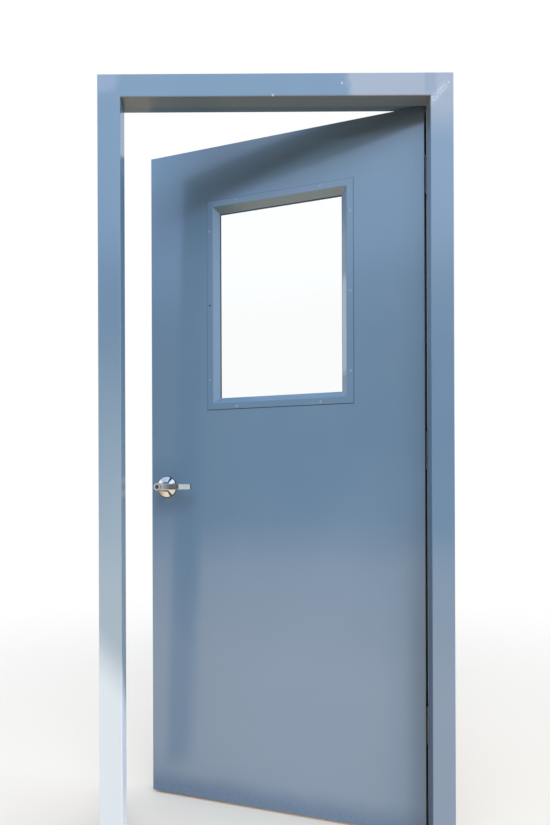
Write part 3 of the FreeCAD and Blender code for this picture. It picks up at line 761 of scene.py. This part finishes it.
@dataclass
class DoorFrame:
    """Welded steel frame: two jambs and a head with anchors, strike and silencers.

    A span gives where a mark is 0 and where it is full; a waver makes its edge ragged.
    """

    painted: tuple[str, ...] = ("hinge_jamb", "strike_jamb", "head")
    hidden_steel: tuple[str, ...] = (
        "hinge_jamb_floor_anchor", "strike_jamb_floor_anchor", "hinge_jamb_wall_straps",
        "strike_jamb_wall_straps", "strike_box", "hinge_jamb_backings",
    )
    screw_inset: float = 0.012
    skin: float = 0.0008
    edge_fade: float = 0.02
    face_depth: Span = (0.004, 0.001)
    stop_depth: Span = (0.06, 0.05)
    reflection_reach: float = 0.30
    reflection_up: Span = (-0.22, -0.04)
    reflection_waver: Waver = Waver(14.0, 3.0, 0.09)
    reflection_waver_up: float = 0.5
    spared_reach: float = 0.010
    spared_fade: float = 0.012
    spared_up: Span = (-0.01, 0.02)
    spared_share: float = 0.45
    lighter_rise: Span = (1.45, 1.80)
    stop_shade: Span = (1.60, 0.55)
    warm_shade_drop: float = 0.10
    rub: Span = (0.075, 0.035)
    rub_waver: Waver = Waver(25.0, 3.0, 0.05)
    seam_fine: float = 210.0
    seam_coarse: float = 90.0
    seam_streaks: Span = (0.28, 0.72)
    seam_off: float = 0.013
    seam_bend: float = 2.2
    seam_reach: float = 0.004
    seam_fade: float = 0.011
    seam_middle: float = 0.018
    seam_half: float = 0.014
    seam_tail: float = 0.042
    glare: Span = (1.70, 0.70)
    glare_waver: Waver = Waver(4.0, 2.0, 0.2)
    sunlight: Span = (0.67, 0.47)
    sunlight_slant: float = 1.2
    sunlight_fall: float = 2.5
    sunlight_waver: Waver = Waver(5.0, 2.0, 0.06)
    dust: Span = (1.0, 0.35)
    dust_waver: Waver = Waver(3.0, 3.0, 0.25)
    knocks: tuple[tuple[Pair, float], ...] = (
        ((-0.292, 0.036), 0.0035), ((-0.487, 0.002), 0.0040), ((0.010, 0.036), 0.0035),
    )

    def enamel(self) -> Enamel:
        """Describe the frame's paint: painted sky reflection, painted warm shade, painted shade on the hinge
        stop, painted glare and sunlight on the strike jamb's foot, and knocks.

        Each knock is given by its X and its height over the soffit, and by its radius.

        Returns:
            The paint.
        """
        head_low, head_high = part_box("head")
        hinge_low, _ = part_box("hinge_jamb")
        strike_low, strike_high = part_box("strike_jamb")
        push, soffit = head_low.y, head_low.z

        def on_face(spot: Spot) -> Signal:
            """Keep to the push face."""
            return spot.y.step(*self.face_depth, push)

        def on_hinge_stop(spot: Spot) -> Signal:
            """Keep to the hinge stop's inner side."""
            return spot.x.near(hinge_low.x, self.skin, self.skin)

        def on_strike_face(spot: Spot) -> Signal:
            """Keep to the strike jamb's push face and its stop."""
            return spot.x.step(self.edge_fade, 0.0, strike_high.x) * spot.y.step(*self.stop_depth, push)

        def spared(spot: Spot) -> Signal:
            """Mark the strip beside the mitre where the painted sky reflection is weaker."""
            beside = spot.x.near(hinge_low.x, self.spared_reach, self.spared_fade)
            return beside * spot.z.step(*self.spared_up, soffit)

        def painted_sky_reflection(spot: Spot) -> Signal:
            """Mark the painted reflection of bright sky at the hinge side's upper corner.

            Args:
                spot: the point on the frame.

            Returns:
                The mark, from 0 to 1.
            """
            ragged = spot.waver(self.reflection_waver)
            reach = head_high.x - self.reflection_reach
            across = (spot.x + ragged).step(-self.edge_fade, self.edge_fade, reach)
            up = (spot.z + ragged * self.reflection_waver_up).step(*self.reflection_up, head_high.z)
            return across * up * on_face(spot) * (1.0 - spared(spot) * self.spared_share)

        def lighter_upper(spot: Spot) -> Signal:
            """Mark the lighter upper stretch of the hinge jamb."""
            return spot.z.step(*self.lighter_rise) * spot.x.step(-self.edge_fade, 0.0, hinge_low.x)

        def painted_warm_shade(spot: Spot) -> Signal:
            """Mark the painted warm shade on the soffit and on the upper end of the hinge stop's inner side.
            """
            below = spot.z.step(-self.warm_shade_drop, 0.0, soffit) * spot.z.step(self.skin, 0.0, soffit)
            return spot.z.near(soffit, self.skin, self.skin) | on_hinge_stop(spot) * below

        def painted_stop_shade(spot: Spot) -> Signal:
            """Mark the painted shade on the lower part of the hinge stop's inner side."""
            return on_hinge_stop(spot) * spot.z.step(*self.stop_shade)

        def lightened(spot: Spot) -> Signal:
            """Mark the rubbed weld at the strike side's upper corner."""
            away = spot.distance((head_low.x, push, head_high.z))
            return (away + spot.waver(self.rub_waver)).step(*self.rub)

        def seam(spot: Spot) -> Signal:
            """Mark the brushed streaks along the dressed mitre.

            Args:
                spot: the point on the frame.

            Returns:
                The mark, from 0 to 1.
            """
            graph, slant, corner = spot.graph, math.sqrt(0.5), (hinge_low.x, push, soffit)
            off = graph.along(spot.place, (slant, 0.0, -slant), corner)
            onward = graph.along(spot.place, (slant, 0.0, slant), corner)
            brushed = graph.node(
                "ShaderNodeCombineXYZ", inputs={0: off * self.seam_fine, 1: onward * self.seam_coarse}
            )
            streaks = graph.noise(brushed, 1.0, detail=4.0, roughness=0.65).step(*self.seam_streaks)
            bent = off + onward * onward * self.seam_bend
            line = bent.near(self.seam_off, self.seam_reach, self.seam_fade)
            return line * onward.near(self.seam_middle, self.seam_half, self.seam_tail) * streaks

        def painted_glare(spot: Spot) -> Signal:
            """Mark the painted glare that grows down the strike jamb."""
            return (spot.z + spot.waver(self.glare_waver)).step(*self.glare) * on_strike_face(spot)

        def painted_sunlight(spot: Spot) -> Signal:
            """Mark the painted sunlight on the strike jamb's foot, which ends on a slant."""
            slant = (spot.x - strike_low.x) * self.sunlight_slant + (spot.y - push) * self.sunlight_fall
            return (spot.z + slant + spot.waver(self.sunlight_waver)).step(*self.sunlight) * on_strike_face(spot)

        def painted_stop_sunlight(spot: Spot) -> Signal:
            """Mark the painted sunlight on the foot of the strike stop's inner side."""
            return spot.x.near(strike_high.x, self.skin, self.skin) * painted_sunlight(spot)

        def dulled(spot: Spot) -> Signal:
            """Mark the film of dust on the lower jambs."""
            return (spot.z + spot.waver(self.dust_waver)).step(*self.dust) * on_face(spot)

        return Enamel(
            "frame_enamel",
            patches=(
                Patch((0.41, 0.43, 0.46), 0.12, lighter_upper),
                # painted reflection of bright sky on the hinge side's upper corner
                Patch((0.43, 0.435, 0.435), 0.65, painted_sky_reflection),
                Patch((0.34, 0.38, 0.46), 0.45, lightened),
                Patch((0.66, 0.67, 0.68), 0.62, seam),
                Patch((0.30, 0.32, 0.34), 0.35, dulled),
                # painted glare down the strike jamb
                Patch((0.54, 0.60, 0.55), 0.48, painted_glare),
                # painted sunlight on the strike jamb's foot, with a slanted edge
                Patch((0.77, 0.79, 0.73), 0.92, painted_sunlight),
                # painted warm shade: the soffit as lit only by the floor's warm bounce
                Patch((0.253, 0.255, 0.219), 0.5, painted_warm_shade),
                # painted sunlight on the strike stop's inner side
                Patch((0.95, 0.96, 0.94), 0.95, painted_stop_sunlight),
                # painted shade on the hinge stop's inner side, which the ajar leaf keeps from the light
                Patch((0.05, 0.065, 0.09), 0.55, painted_stop_shade),
            ),
            chips=tuple(Chip((across, push, soffit + up), radius) for (across, up), radius in self.knocks),
        )

    def build(self) -> None:
        """Dress the frame and add the strike's screws."""
        dress(self.painted, self.enamel().material())
        dress(self.hidden_steel, ZINC.material())
        dress(("silencers",), SILENCER.material())
        satin = SATIN.material()
        dress(("strike_plate",), satin)
        low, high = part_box("strike_plate")
        middle = (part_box("strike_box")[0].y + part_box("strike_box")[1].y) / 2
        seats = [
            (Vector((high.x, middle, height)), Vector((1.0, 0.0, 0.0)))
            for height in (low.z + self.screw_inset, high.z - self.screw_inset)
        ]
        place_piece(screws("strike_screws", Screw(), seats), "frame", satin)


@dataclass
class Hinges:
    """Three butt hinges with their screws, in rows given as shares of a plate's height and width."""

    names: tuple[str, ...] = ("top", "middle", "bottom")
    rows: tuple[Pair, ...] = ((0.14, 0.30), (0.40, 0.70), (0.60, 0.30), (0.86, 0.70))
    screw: Screw = Screw(0.0044)
    knuckle_clear: float = 0.002

    def build(self) -> None:
        """Dress the hinges and add their screws."""
        steel = HINGE_STEEL.material()
        pieces = ("frame_leaf", "door_leaf", "pin")
        dress((f"hinge_{name}_{piece}" for name in self.names for piece in pieces), steel)
        on_frame: list[Seat] = []
        on_door: list[Seat] = []
        for name in self.names:
            on_frame += self.frame_seats(f"hinge_{name}_frame_leaf")
            on_door += self.door_seats(f"hinge_{name}_door_leaf")
        place_piece(screws("hinge_frame_screws", self.screw, on_frame), "frame", steel)
        place_piece(screws("hinge_door_screws", self.screw, on_door), "leaf", steel)

    def frame_seats(self, node: str) -> list[Seat]:
        """Give the screws' seats on a frame leaf, which faces the doorway.

        Args:
            node: the frame leaf's name.

        Returns:
            Centre and outward direction of each screw.
        """
        low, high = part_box(node)
        plate_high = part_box("hinge_jamb")[1].y
        face = min(corner.x for corner in corners(node) if corner.y < plate_high - self.knuckle_clear)
        return [
            (
                Vector((face, low.y + share * (plate_high - low.y), low.z + rise * (high.z - low.z))),
                Vector((-1.0, 0.0, 0.0)),
            )
            for rise, share in self.rows
        ]

    def door_seats(self, node: str) -> list[Seat]:
        """Give the screws' seats on a door leaf, which faces the jamb.

        Args:
            node: the door leaf's name.

        Returns:
            Centre and outward direction of each screw.
        """
        low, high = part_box(node)
        deepest, _ = LEAF.span("pull_face_sheet", LEAF.out)
        _, far = LEAF.span(node, LEAF.out)
        face = min(
            LEAF.reach(corner, LEAF.along)
            for corner in corners(node) if LEAF.reach(corner, LEAF.out) > deepest + self.knuckle_clear
        )
        width = far - deepest
        return [
            (LEAF.at(face, deepest + share * width, low.z + rise * (high.z - low.z)), -Vector(LEAF.along))
            for rise, share in self.rows
        ]


@dataclass
class Leaf:
    """Hollow steel leaf: face sheets, channels and the latch in its edge.

    A span gives where a mark is 0 and where it is full; a waver makes its edge ragged.
    """

    painted: tuple[str, ...] = ("push_face_sheet", "pull_face_sheet")
    steel: tuple[str, ...] = ("leaf_top_channel", "leaf_foot_channel", "leaf_hinge_backings", "latch_case")
    faceplate_screw: Screw = Screw(0.003)
    screw_inset: float = 0.008
    dust_and_sheen: Span = (1.0, 0.40)
    dust_and_sheen_along: Span = (0.0, 0.16)
    dust_and_sheen_waver: Waver = Waver(3.0, 3.0, 0.25)
    joint_reach: float = 0.0016
    joint_outside: Span = (0.0, 0.0005)
    joint_beside: float = 0.6
    joint_least: float = 0.35
    dim: Span = (1.25, 0.40)
    dim_along: Span = (0.075, 0.01)
    gap_skin: Span = (0.0016, 0.0008)
    rim_reach: float = 0.0018
    head_shadow: Span = (2.165, 2.225)
    head_shadow_slope: float = 1.05
    head_shadow_along: Span = (0.93, 0.62)
    head_shadow_top: Span = (-0.065, -0.040)
    face_skin: Span = (-0.003, -0.001)
    foot_band: Span = (0.090, 0.010)
    foot_band_waver: Waver = Waver(9.0, 4.0, 0.05)
    soiling: Span = (0.13, 0.05)
    soiling_waver: Waver = Waver(24.0, 3.0, 0.07)
    twist: Lean = Lean(LEAF.along, start=(0.0, 0.0, 2.0), onward=(0.0, 0.0, -1.0), slope=-0.07)

    def enamel(self) -> Enamel:
        """Describe the leaf's paint, with dust and painted floor reflection on its lower half, painted shade
        and shadow at its edges, top, window joint and rose, and its twist.

        Returns:
            The paint.
        """
        low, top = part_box("push_face_sheet")
        panel_low, panel_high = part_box("push_window_frame")
        panel_near, panel_far = LEAF.span("push_window_frame", LEAF.along)
        rose_low, rose_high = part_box("push_rose")
        rose_near, rose_far = LEAF.span("push_rose", LEAF.along)
        rose_height = (rose_low.z + rose_high.z) / 2
        handle = LEAF.at(rose_far, LEAF.span("push_rose", LEAF.out)[1], rose_height)
        rose_radius = (rose_far - rose_near) / 2
        hinge_edge = LEAF.span("push_face_sheet", LEAF.along)[0]
        push_out = LEAF.span("push_face_sheet", LEAF.out)[1]
        rose_seat = LEAF.at((rose_near + rose_far) / 2, push_out, rose_height)

        def dusty(spot: Spot) -> Signal:
            """Mark the dust and painted reflection of the floor on the lower half, which stops short of the
            hinge edge.
            """
            low_down = (spot.z + spot.waver(self.dust_and_sheen_waver)).step(*self.dust_and_sheen)
            return low_down * spot.along.step(*self.dust_and_sheen_along)

        def joint(spot: Spot) -> Signal:
            """Mark the dark joint round the window frame, with painted shade that is darkest under it.

            Args:
                spot: the point on the leaf.

            Returns:
                The mark, from 0 to 1.
            """
            below = panel_low.z - spot.z
            beside = panel_near - spot.along
            outside = below | beside | spot.z - panel_high.z | spot.along - panel_far
            darkest = below.step(*self.joint_outside)
            darker = beside.step(*self.joint_outside) * self.joint_beside
            return outside.within(self.joint_reach) * (darkest | darker | self.joint_least)

        def painted_hinge_edge_shade(spot: Spot) -> Signal:
            """Mark the painted shade along the lower hinge edge."""
            return spot.along.step(*self.dim_along) * spot.z.step(*self.dim)

        def painted_hinge_gap_shade(spot: Spot) -> Signal:
            """Mark the painted shade on the hinge edge, inside the gap."""
            return spot.along.step(*self.gap_skin, hinge_edge)

        def painted_rose_shadow(spot: Spot) -> Signal:
            """Mark the painted contact shadow round the rose."""
            return (spot.distance(rose_seat) - rose_radius).within(self.rim_reach)

        def painted_head_shadow(spot: Spot) -> Signal:
            """Mark the painted shadow of the head along the push face's top, deepest at mid-width.

            Args:
                spot: the point on the leaf.

            Returns:
                The mark, from 0 to 1.
            """
            slant = (spot.z + spot.y * self.head_shadow_slope).step(*self.head_shadow)
            high_up = slant | spot.z.step(*self.head_shadow_top, top.z)
            return high_up * spot.along.step(*self.head_shadow_along) * spot.out.step(*self.face_skin, push_out)

        def foot(spot: Spot) -> Signal:
            """Mark the darker band along the lower edge."""
            return (spot.z + spot.waver(self.foot_band_waver)).step(*self.foot_band, low.z)

        def handled(spot: Spot) -> Signal:
            """Mark the soiling round the lever."""
            return (spot.distance(handle) + spot.waver(self.soiling_waver)).step(*self.soiling)

        return Enamel(
            "leaf_enamel", lean=self.twist,
            patches=(
                # dust and painted reflection of the floor on the lower half
                Patch((0.28, 0.32, 0.36), 0.46, dusty),
                Patch((0.08, 0.15, 0.23), 0.60, foot),
                Patch((0.09, 0.14, 0.20), 0.30, handled),
                # painted shade near the hinge edge, where the jamb keeps light off
                Patch((0.06, 0.09, 0.13), 0.42, painted_hinge_edge_shade),
                # painted shadow of the head along the leaf's top
                Patch((0.05, 0.045, 0.035), 0.42, painted_head_shadow),
                # painted shade in the joint round the window frame
                Patch((0.02, 0.022, 0.025), 0.85, joint),
                # painted contact shadow round the rose
                Patch((0.02, 0.025, 0.035), 0.75, painted_rose_shadow),
                # painted shade on the hinge edge inside the gap
                Patch((0.02, 0.022, 0.025), 0.9, painted_hinge_gap_shade, 0.5),
            ),
        )

    def build(self) -> None:
        """Dress the leaf and the latch, and add the faceplate's screws."""
        dress(self.painted, self.enamel().material())
        dress(self.steel, ZINC.material())
        satin = SATIN.material()
        dress(("latch_faceplate", "latch_bolt"), satin)
        low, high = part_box("latch_faceplate")
        _, face = LEAF.span("latch_faceplate", LEAF.along)
        near, far = LEAF.span("latch_faceplate", LEAF.out)
        seats = [
            (LEAF.at(face, (near + far) / 2, height), Vector(LEAF.along))
            for height in (low.z + self.screw_inset, high.z - self.screw_inset)
        ]
        place_piece(screws("faceplate_screws", self.faceplate_screw, seats), "leaf", satin)


@dataclass
class HingeGapShadeStrip:
    """Black foam strip on the leaf's hinge edge, in lengths between the hinges, put there as painted shade:
    it darkens the hinge gap.

    Its upper end stands over the leaf's top by an overhang.
    """

    width: float = 0.010
    rise: float = 0.0034
    inset: float = 0.007
    spare: float = 0.0006
    overhang: float = 0.006
    taper: float = 0.001
    end_share: float = 0.94
    steps: int = 14

    def lengths(self) -> list[Span]:
        """Give the strip's lengths from the floor up.

        Returns:
            The foot and the top of each length.
        """
        low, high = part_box("pull_face_sheet")
        ends = [low.z + self.spare]
        for name in reversed(Hinges.names):
            hinge_low, hinge_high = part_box(f"hinge_{name}_door_leaf")
            ends += [hinge_low.z - self.spare, hinge_high.z + self.spare]
        ends.append(high.z + self.overhang)
        return list(zip(ends[::2], ends[1::2]))

    def section(self, height: float, share: float) -> list[Vector]:
        """Give the strip's rounded outline at a height.

        Args:
            height: height above the floor.
            share: how far it rises there, as a share of its full rise.

        Returns:
            The outline's points, from its push side to its pull side.
        """
        edge, _ = LEAF.span("push_face_sheet", LEAF.along)
        middle = LEAF.span("pull_face_sheet", LEAF.out)[0] + self.inset
        angles = [math.pi * step / self.steps for step in range(self.steps + 1)]
        return [
            LEAF.at(
                edge - self.rise * share * math.sin(angle), middle + self.width / 2 * math.cos(angle), height
            )
            for angle in angles
        ]

    def build(self) -> None:
        """Make the strip."""
        mesh = bmesh.new()
        for foot, top in self.lengths():
            levels = (
                (foot, self.end_share), (foot + self.taper, 1.0),
                (top - self.taper, 1.0), (top, self.end_share),
            )
            rings = [[mesh.verts.new(point) for point in self.section(*level)] for level in levels]
            for lower, upper in zip(rings, rings[1:]):
                for index in range(self.steps):
                    mesh.faces.new((lower[index], lower[index + 1], upper[index + 1], upper[index]))
            mesh.faces.new(rings[0])
            mesh.faces.new(rings[-1])
        bmesh.ops.recalc_face_normals(mesh, faces=mesh.faces)
        place_piece(finish_mesh("hinge_gap_shade_strip", mesh), "leaf", GAP_SHADE_RUBBER.material())


@dataclass
class VisionPanel:
    """Glazed opening in the leaf: two screwed frames, tapes and a pane."""

    frames: tuple[str, ...] = ("push_window_frame", "pull_window_frame")
    tapes: tuple[str, ...] = ("push_glazing_tape", "pull_glazing_tape")
    inset: float = 0.008
    side_rise: float = 0.243
    level_reach: float = 0.139
    screw: Screw = Screw()
    open_hole: Screw = Screw(radius=0.0029, dome=0.0003, recess_reach=0.0)
    swell: Waver = Waver(2.6, 1.0, 0.0)
    flange: float = 0.0195
    bevel: float = 0.0185
    bevel_full: float = 0.3
    bevel_fade: float = 0.2
    highlight_drop: float = 0.10
    highlight_reach: float = 0.12
    highlight_fade: float = 0.06
    highlight_least: float = 0.2

    def enamel(self) -> Enamel:
        """Describe the frames' paint, with a painted highlight on the hinge side's bevel and painted shade
        on the upper one.

        Returns:
            The paint.
        """
        near, far = LEAF.span("push_window_frame", LEAF.along)
        low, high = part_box("push_window_frame")
        centre, tall = (low.z + high.z) / 2, (high.z - low.z) / 2 - self.flange - self.bevel
        middle, wide = (near + far) / 2, (far - near) / 2 - self.flange - self.bevel
        into = self.flange + self.bevel / 2
        reach, fade = self.bevel * self.bevel_full, self.bevel * self.bevel_fade

        def lightened(spot: Spot) -> Signal:
            """Mark the painted highlight on the hinge side's bevel, most of all below its middle."""
            worst = spot.z.near(centre - self.highlight_drop, self.highlight_reach, self.highlight_fade) | self.highlight_least
            return spot.along.near(near + into, reach, fade) * spot.z.near(centre, tall, self.bevel) * worst

        def painted_warm_shade(spot: Spot) -> Signal:
            """Mark the painted shade on the upper bevel."""
            return spot.z.near(high.z - into, reach, fade) * spot.along.near(middle, wide, self.bevel)

        return Enamel("window_frame_enamel", swell=self.swell, patches=(
            # painted highlight on the hinge side's bevel and painted shade on the upper bevel
            Patch((0.84, 0.85, 0.84), 0.42, lightened), Patch((0.17, 0.20, 0.10), 0.35, painted_warm_shade),
        ))

    def seats(self) -> list[Seat]:
        """Give every screw's seat on the push frame, the missing one last.

        Returns:
            Centre and outward direction of each screw.
        """
        low, high = LEAF.span("push_window_frame", LEAF.along)
        _, face = LEAF.span("push_window_frame", LEAF.out)
        bottom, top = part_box("push_window_frame")[0].z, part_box("push_window_frame")[1].z
        middle, centre = (low + high) / 2, (bottom + top) / 2
        places = [(middle + side * self.level_reach, level)
                  for level in (bottom + self.inset, top - self.inset) for side in (-1, 1)]
        places += [(low + self.inset, centre + rise * self.side_rise) for rise in (-1, 0, 1)]
        places += [(high - self.inset, centre + rise * self.side_rise) for rise in (-1, 1, 0)]
        return [(LEAF.at(along, face, up), Vector(LEAF.out)) for along, up in places]

    def build(self) -> None:
        """Dress the panel and add its screws, all but the one that is missing."""
        dress(self.frames, self.enamel().material())
        dress(self.tapes, TAPE.material())
        dress(("window_glass",), WINDOW_GLASS.material())
        *fitted, missing = self.seats()
        heads = screws("window_frame_screws", self.screw, fitted)
        place_piece(heads, "leaf", SCREW_STEEL.material())
        # the missing screw's hole is a black disc: painted shade in the hole
        hole = screws("window_frame_open_hole", self.open_hole, [missing])
        place_piece(hole, "leaf", DARK_HOLE.material())


@dataclass
class LeverLock:
    """Lever lock: roses, levers on one spindle and the key cylinder."""

    colour: Colour = (0.42, 0.43, 0.44)
    tarnish: Colour = (0.30, 0.30, 0.30)
    roughness: float = 0.20
    stain: float = 0.3
    bow_start: float = 0.045
    bow: float = 2.1
    end_colour: Colour = (0.24, 0.25, 0.26)
    end_skin: Span = (-0.0006, -0.0003)

    def lever_finish(self) -> Metal:
        """Describe the levers' satin plating, on arms that bow towards the hub, whose end is dull.

        Returns:
            The plating.
        """
        tip, _ = LEAF.span("push_lever", LEAF.along)
        _, end = LEAF.span("push_lever", LEAF.out)
        bow = Lean(LEAF.along, tuple(LEAF.at(tip + self.bow_start, 0.0, 0.0)), LEAF.along, self.bow)

        def hub_end(spot: Spot) -> Signal:
            """Mark the push hub's end round the key cylinder."""
            return spot.out.step(*self.end_skin, end)

        return Metal(
            "lever_plating", self.colour, self.tarnish, self.roughness, Grain.BRUSHED, self.stain,
            lean=bow, dull=Patch(self.end_colour, 1.0, hub_end),
        )

    def build(self) -> None:
        """Dress the lock."""
        dress(("push_rose", "pull_rose"), CHROME.material())
        dress(("push_lever", "pull_lever", "lever_spindle"), self.lever_finish().material())
        dress(("key_cylinder",), KEY_BRASS.material())


# Studio

@dataclass
class Camera:
    """The photograph's point of view, in pixels of its 550 by 825 frame and metres."""

    width: int = 550
    height: int = 825
    focal: float = 594.4
    centre: Pair = (272.2, 488.4)
    offset: float = -0.0065
    stand_off: float = 1.678
    eye_height: float = 1.0297
    turn: float = 0.0034
    roll: float = -0.0034
    sensor: float = 36.0

    def build(self) -> None:
        """Make the camera."""
        data = bpy.data.cameras.new("camera")
        longest = max(self.width, self.height)
        data.sensor_width = self.sensor
        data.lens = self.focal / longest * self.sensor
        data.shift_x = (self.width / 2 - self.centre[0]) / longest
        data.shift_y = (self.centre[1] - self.height / 2) / longest
        camera = bpy.data.objects.new("camera", data)
        doorway = (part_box("hinge_jamb")[0].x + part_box("strike_jamb")[1].x) / 2
        eye = Vector((doorway + self.offset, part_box("head")[0].y - self.stand_off, self.eye_height))
        turned = Matrix.Rotation(self.turn, 4, "Z") @ Matrix.Rotation(math.pi / 2, 4, "X")
        camera.matrix_world = Matrix.Translation(eye) @ turned @ Matrix.Rotation(self.roll, 4, "Z")
        bpy.context.scene.collection.objects.link(camera)
        bpy.context.scene.camera = camera


@dataclass
class Studio:
    """Pale floor, white backdrop and soft sky light, which reaches lower on both sides.

    A span gives where a zone of the floor or the sky starts and where it is full.
    """

    floor_radius: float = 9.0
    floor_sides: int = 96
    floor_seen: Colour = (0.88, 0.74, 0.57)
    floor_bounce: Colour = (0.60, 0.41, 0.25)
    floor_mirrored: Colour = (1.80, 1.60, 1.33)
    fade: Span = (1.4, 4.0)
    mirror: Span = (-0.10, 0.35)
    mirror_rear: float = 0.25
    horizon: Colour = (0.37, 0.385, 0.41)
    horizon_rise: Span = (0.0, 0.05)
    sky: Colour = (1.60, 2.00, 2.75)
    sky_rise: Span = (0.31, 0.41)
    strike_sky: Colour = (1.00, 1.40, 2.20)
    strike_side: Span = (-0.25, -0.70)
    strike_drop: float = 0.06
    hinge_side: Span = (0.34, 0.46)
    hinge_drop: float = 0.28
    zenith: Colour = (0.75, 0.94, 1.25)
    zenith_rise: Span = (0.62, 0.90)
    rear: Colour = (0.72, 0.70, 0.68)
    rear_depth: Span = (-0.1, 0.6)
    rear_share: float = 0.75
    card: Colour = (2.1, 2.1, 2.1)
    card_across: Span = (-0.76, -0.88)
    card_rise: Span = (0.45, 0.35)
    front_card: Colour = (1.55, 1.62, 1.75)
    front_place: Point = (-0.11, -0.99, 0.0)
    front_reach: float = 0.07
    key_power: float = 105.0
    key_size: float = 3.0
    key_place: Point = (-0.3, -4.1, 6.0)

    def build_floor(self) -> None:
        """Make the floor: a disc round the part that fades to the backdrop."""
        mesh = bmesh.new()
        bmesh.ops.create_circle(mesh, cap_ends=True, segments=self.floor_sides, radius=self.floor_radius)
        floor = finish_mesh("floor", mesh)
        centre = (CAD_BOX[0] + CAD_BOX[1]) / 2
        floor.location = (centre.x, centre.y, 0.0)
        material, graph = new_graph("floor")
        spot = Spot(graph, graph.place())
        seen = graph.seen()
        cloth = graph.principled({
            "Base Color": graph.blend(self.floor_bounce, self.floor_seen, seen),
            "Roughness": 1.0, "Specular IOR Level": 0.0,
        })
        # glossy rays see the floor glow, most of all in front of the door: a painted reflection of bright
        # ground
        glow = graph.node("ShaderNodeEmission", inputs={
            "Color": graph.blend(self.floor_mirrored, WHITE, seen), "Strength": 1.0,
        })
        far = spot.distance((0.0, 0.0, 0.0)).step(*self.fade) * seen
        front = (0.0 - spot.y).step(*self.mirror) * (1.0 - self.mirror_rear)
        shine = (front + self.mirror_rear) * graph.ray("Glossy")
        graph.surface(graph.node("ShaderNodeMixShader", inputs={0: far | shine, 1: cloth, 2: glow}))
        floor.data.materials.append(material)

    def build_world(self) -> None:
        """Make the world: white behind the part, a dim horizon and a bright sky in reflections and light."""
        world = bpy.data.worlds.new("studio")
        world.use_nodes = True
        bpy.context.scene.world = world
        graph = Graph(world.node_tree)
        direction = graph.node("ShaderNodeTexCoord", output="Generated")
        across, depth, rise = (graph.axis(direction, axis) for axis in "XYZ")
        aside = across.step(*self.strike_side)
        sky = graph.blend(self.sky, self.strike_sky, aside)
        lowered = rise + across.step(*self.hinge_side) * self.hinge_drop + aside * self.strike_drop
        around = graph.blend(self.horizon, sky, lowered.step(*self.sky_rise) * rise.step(*self.horizon_rise))
        around = graph.blend(around, self.zenith, rise.step(*self.zenith_rise))
        around = graph.blend(around, self.rear, depth.step(*self.rear_depth) * self.rear_share)
        mirrored = graph.ray("Glossy")
        card = across.step(*self.card_across) * rise.step(*self.card_rise)
        around = graph.blend(around, self.card, card * mirrored)
        front = graph.distance(direction, self.front_place).within(self.front_reach)
        around = graph.blend(around, self.front_card, front * mirrored)
        colour = graph.blend(around, WHITE, graph.seen())
        background = graph.node("ShaderNodeBackground", inputs={"Color": colour, "Strength": 1.0})
        graph.node("ShaderNodeOutputWorld", inputs={"Surface": background})

    def build_light(self) -> None:
        """Hang a broad soft lamp above and before the door."""
        data = bpy.data.lights.new("softbox", "AREA")
        data.shape = "DISK"
        data.size = self.key_size
        data.energy = self.key_power
        lamp = bpy.data.objects.new("softbox", data)
        lamp.location = self.key_place
        centre = (CAD_BOX[0] + CAD_BOX[1]) / 2
        lamp.rotation_euler = (centre - lamp.location).to_track_quat("-Z", "Y").to_euler()
        lamp.visible_glossy = False
        bpy.context.scene.collection.objects.link(lamp)

    def build(self) -> None:
        """Set the stage."""
        bpy.context.scene.view_settings.view_transform = "Standard"
        self.build_floor()
        self.build_world()
        self.build_light()


def main() -> None:
    """Build the looks in order."""
    logging.basicConfig(level=logging.INFO, format="%(message)s")
    for assembly in (
        DoorFrame(), Hinges(), Leaf(), HingeGapShadeStrip(), VisionPanel(), LeverLock(), Studio(), Camera(),
    ):
        LOG.info("building %s", type(assembly).__name__)
        assembly.build()


if __name__ == "__main__":
    main()
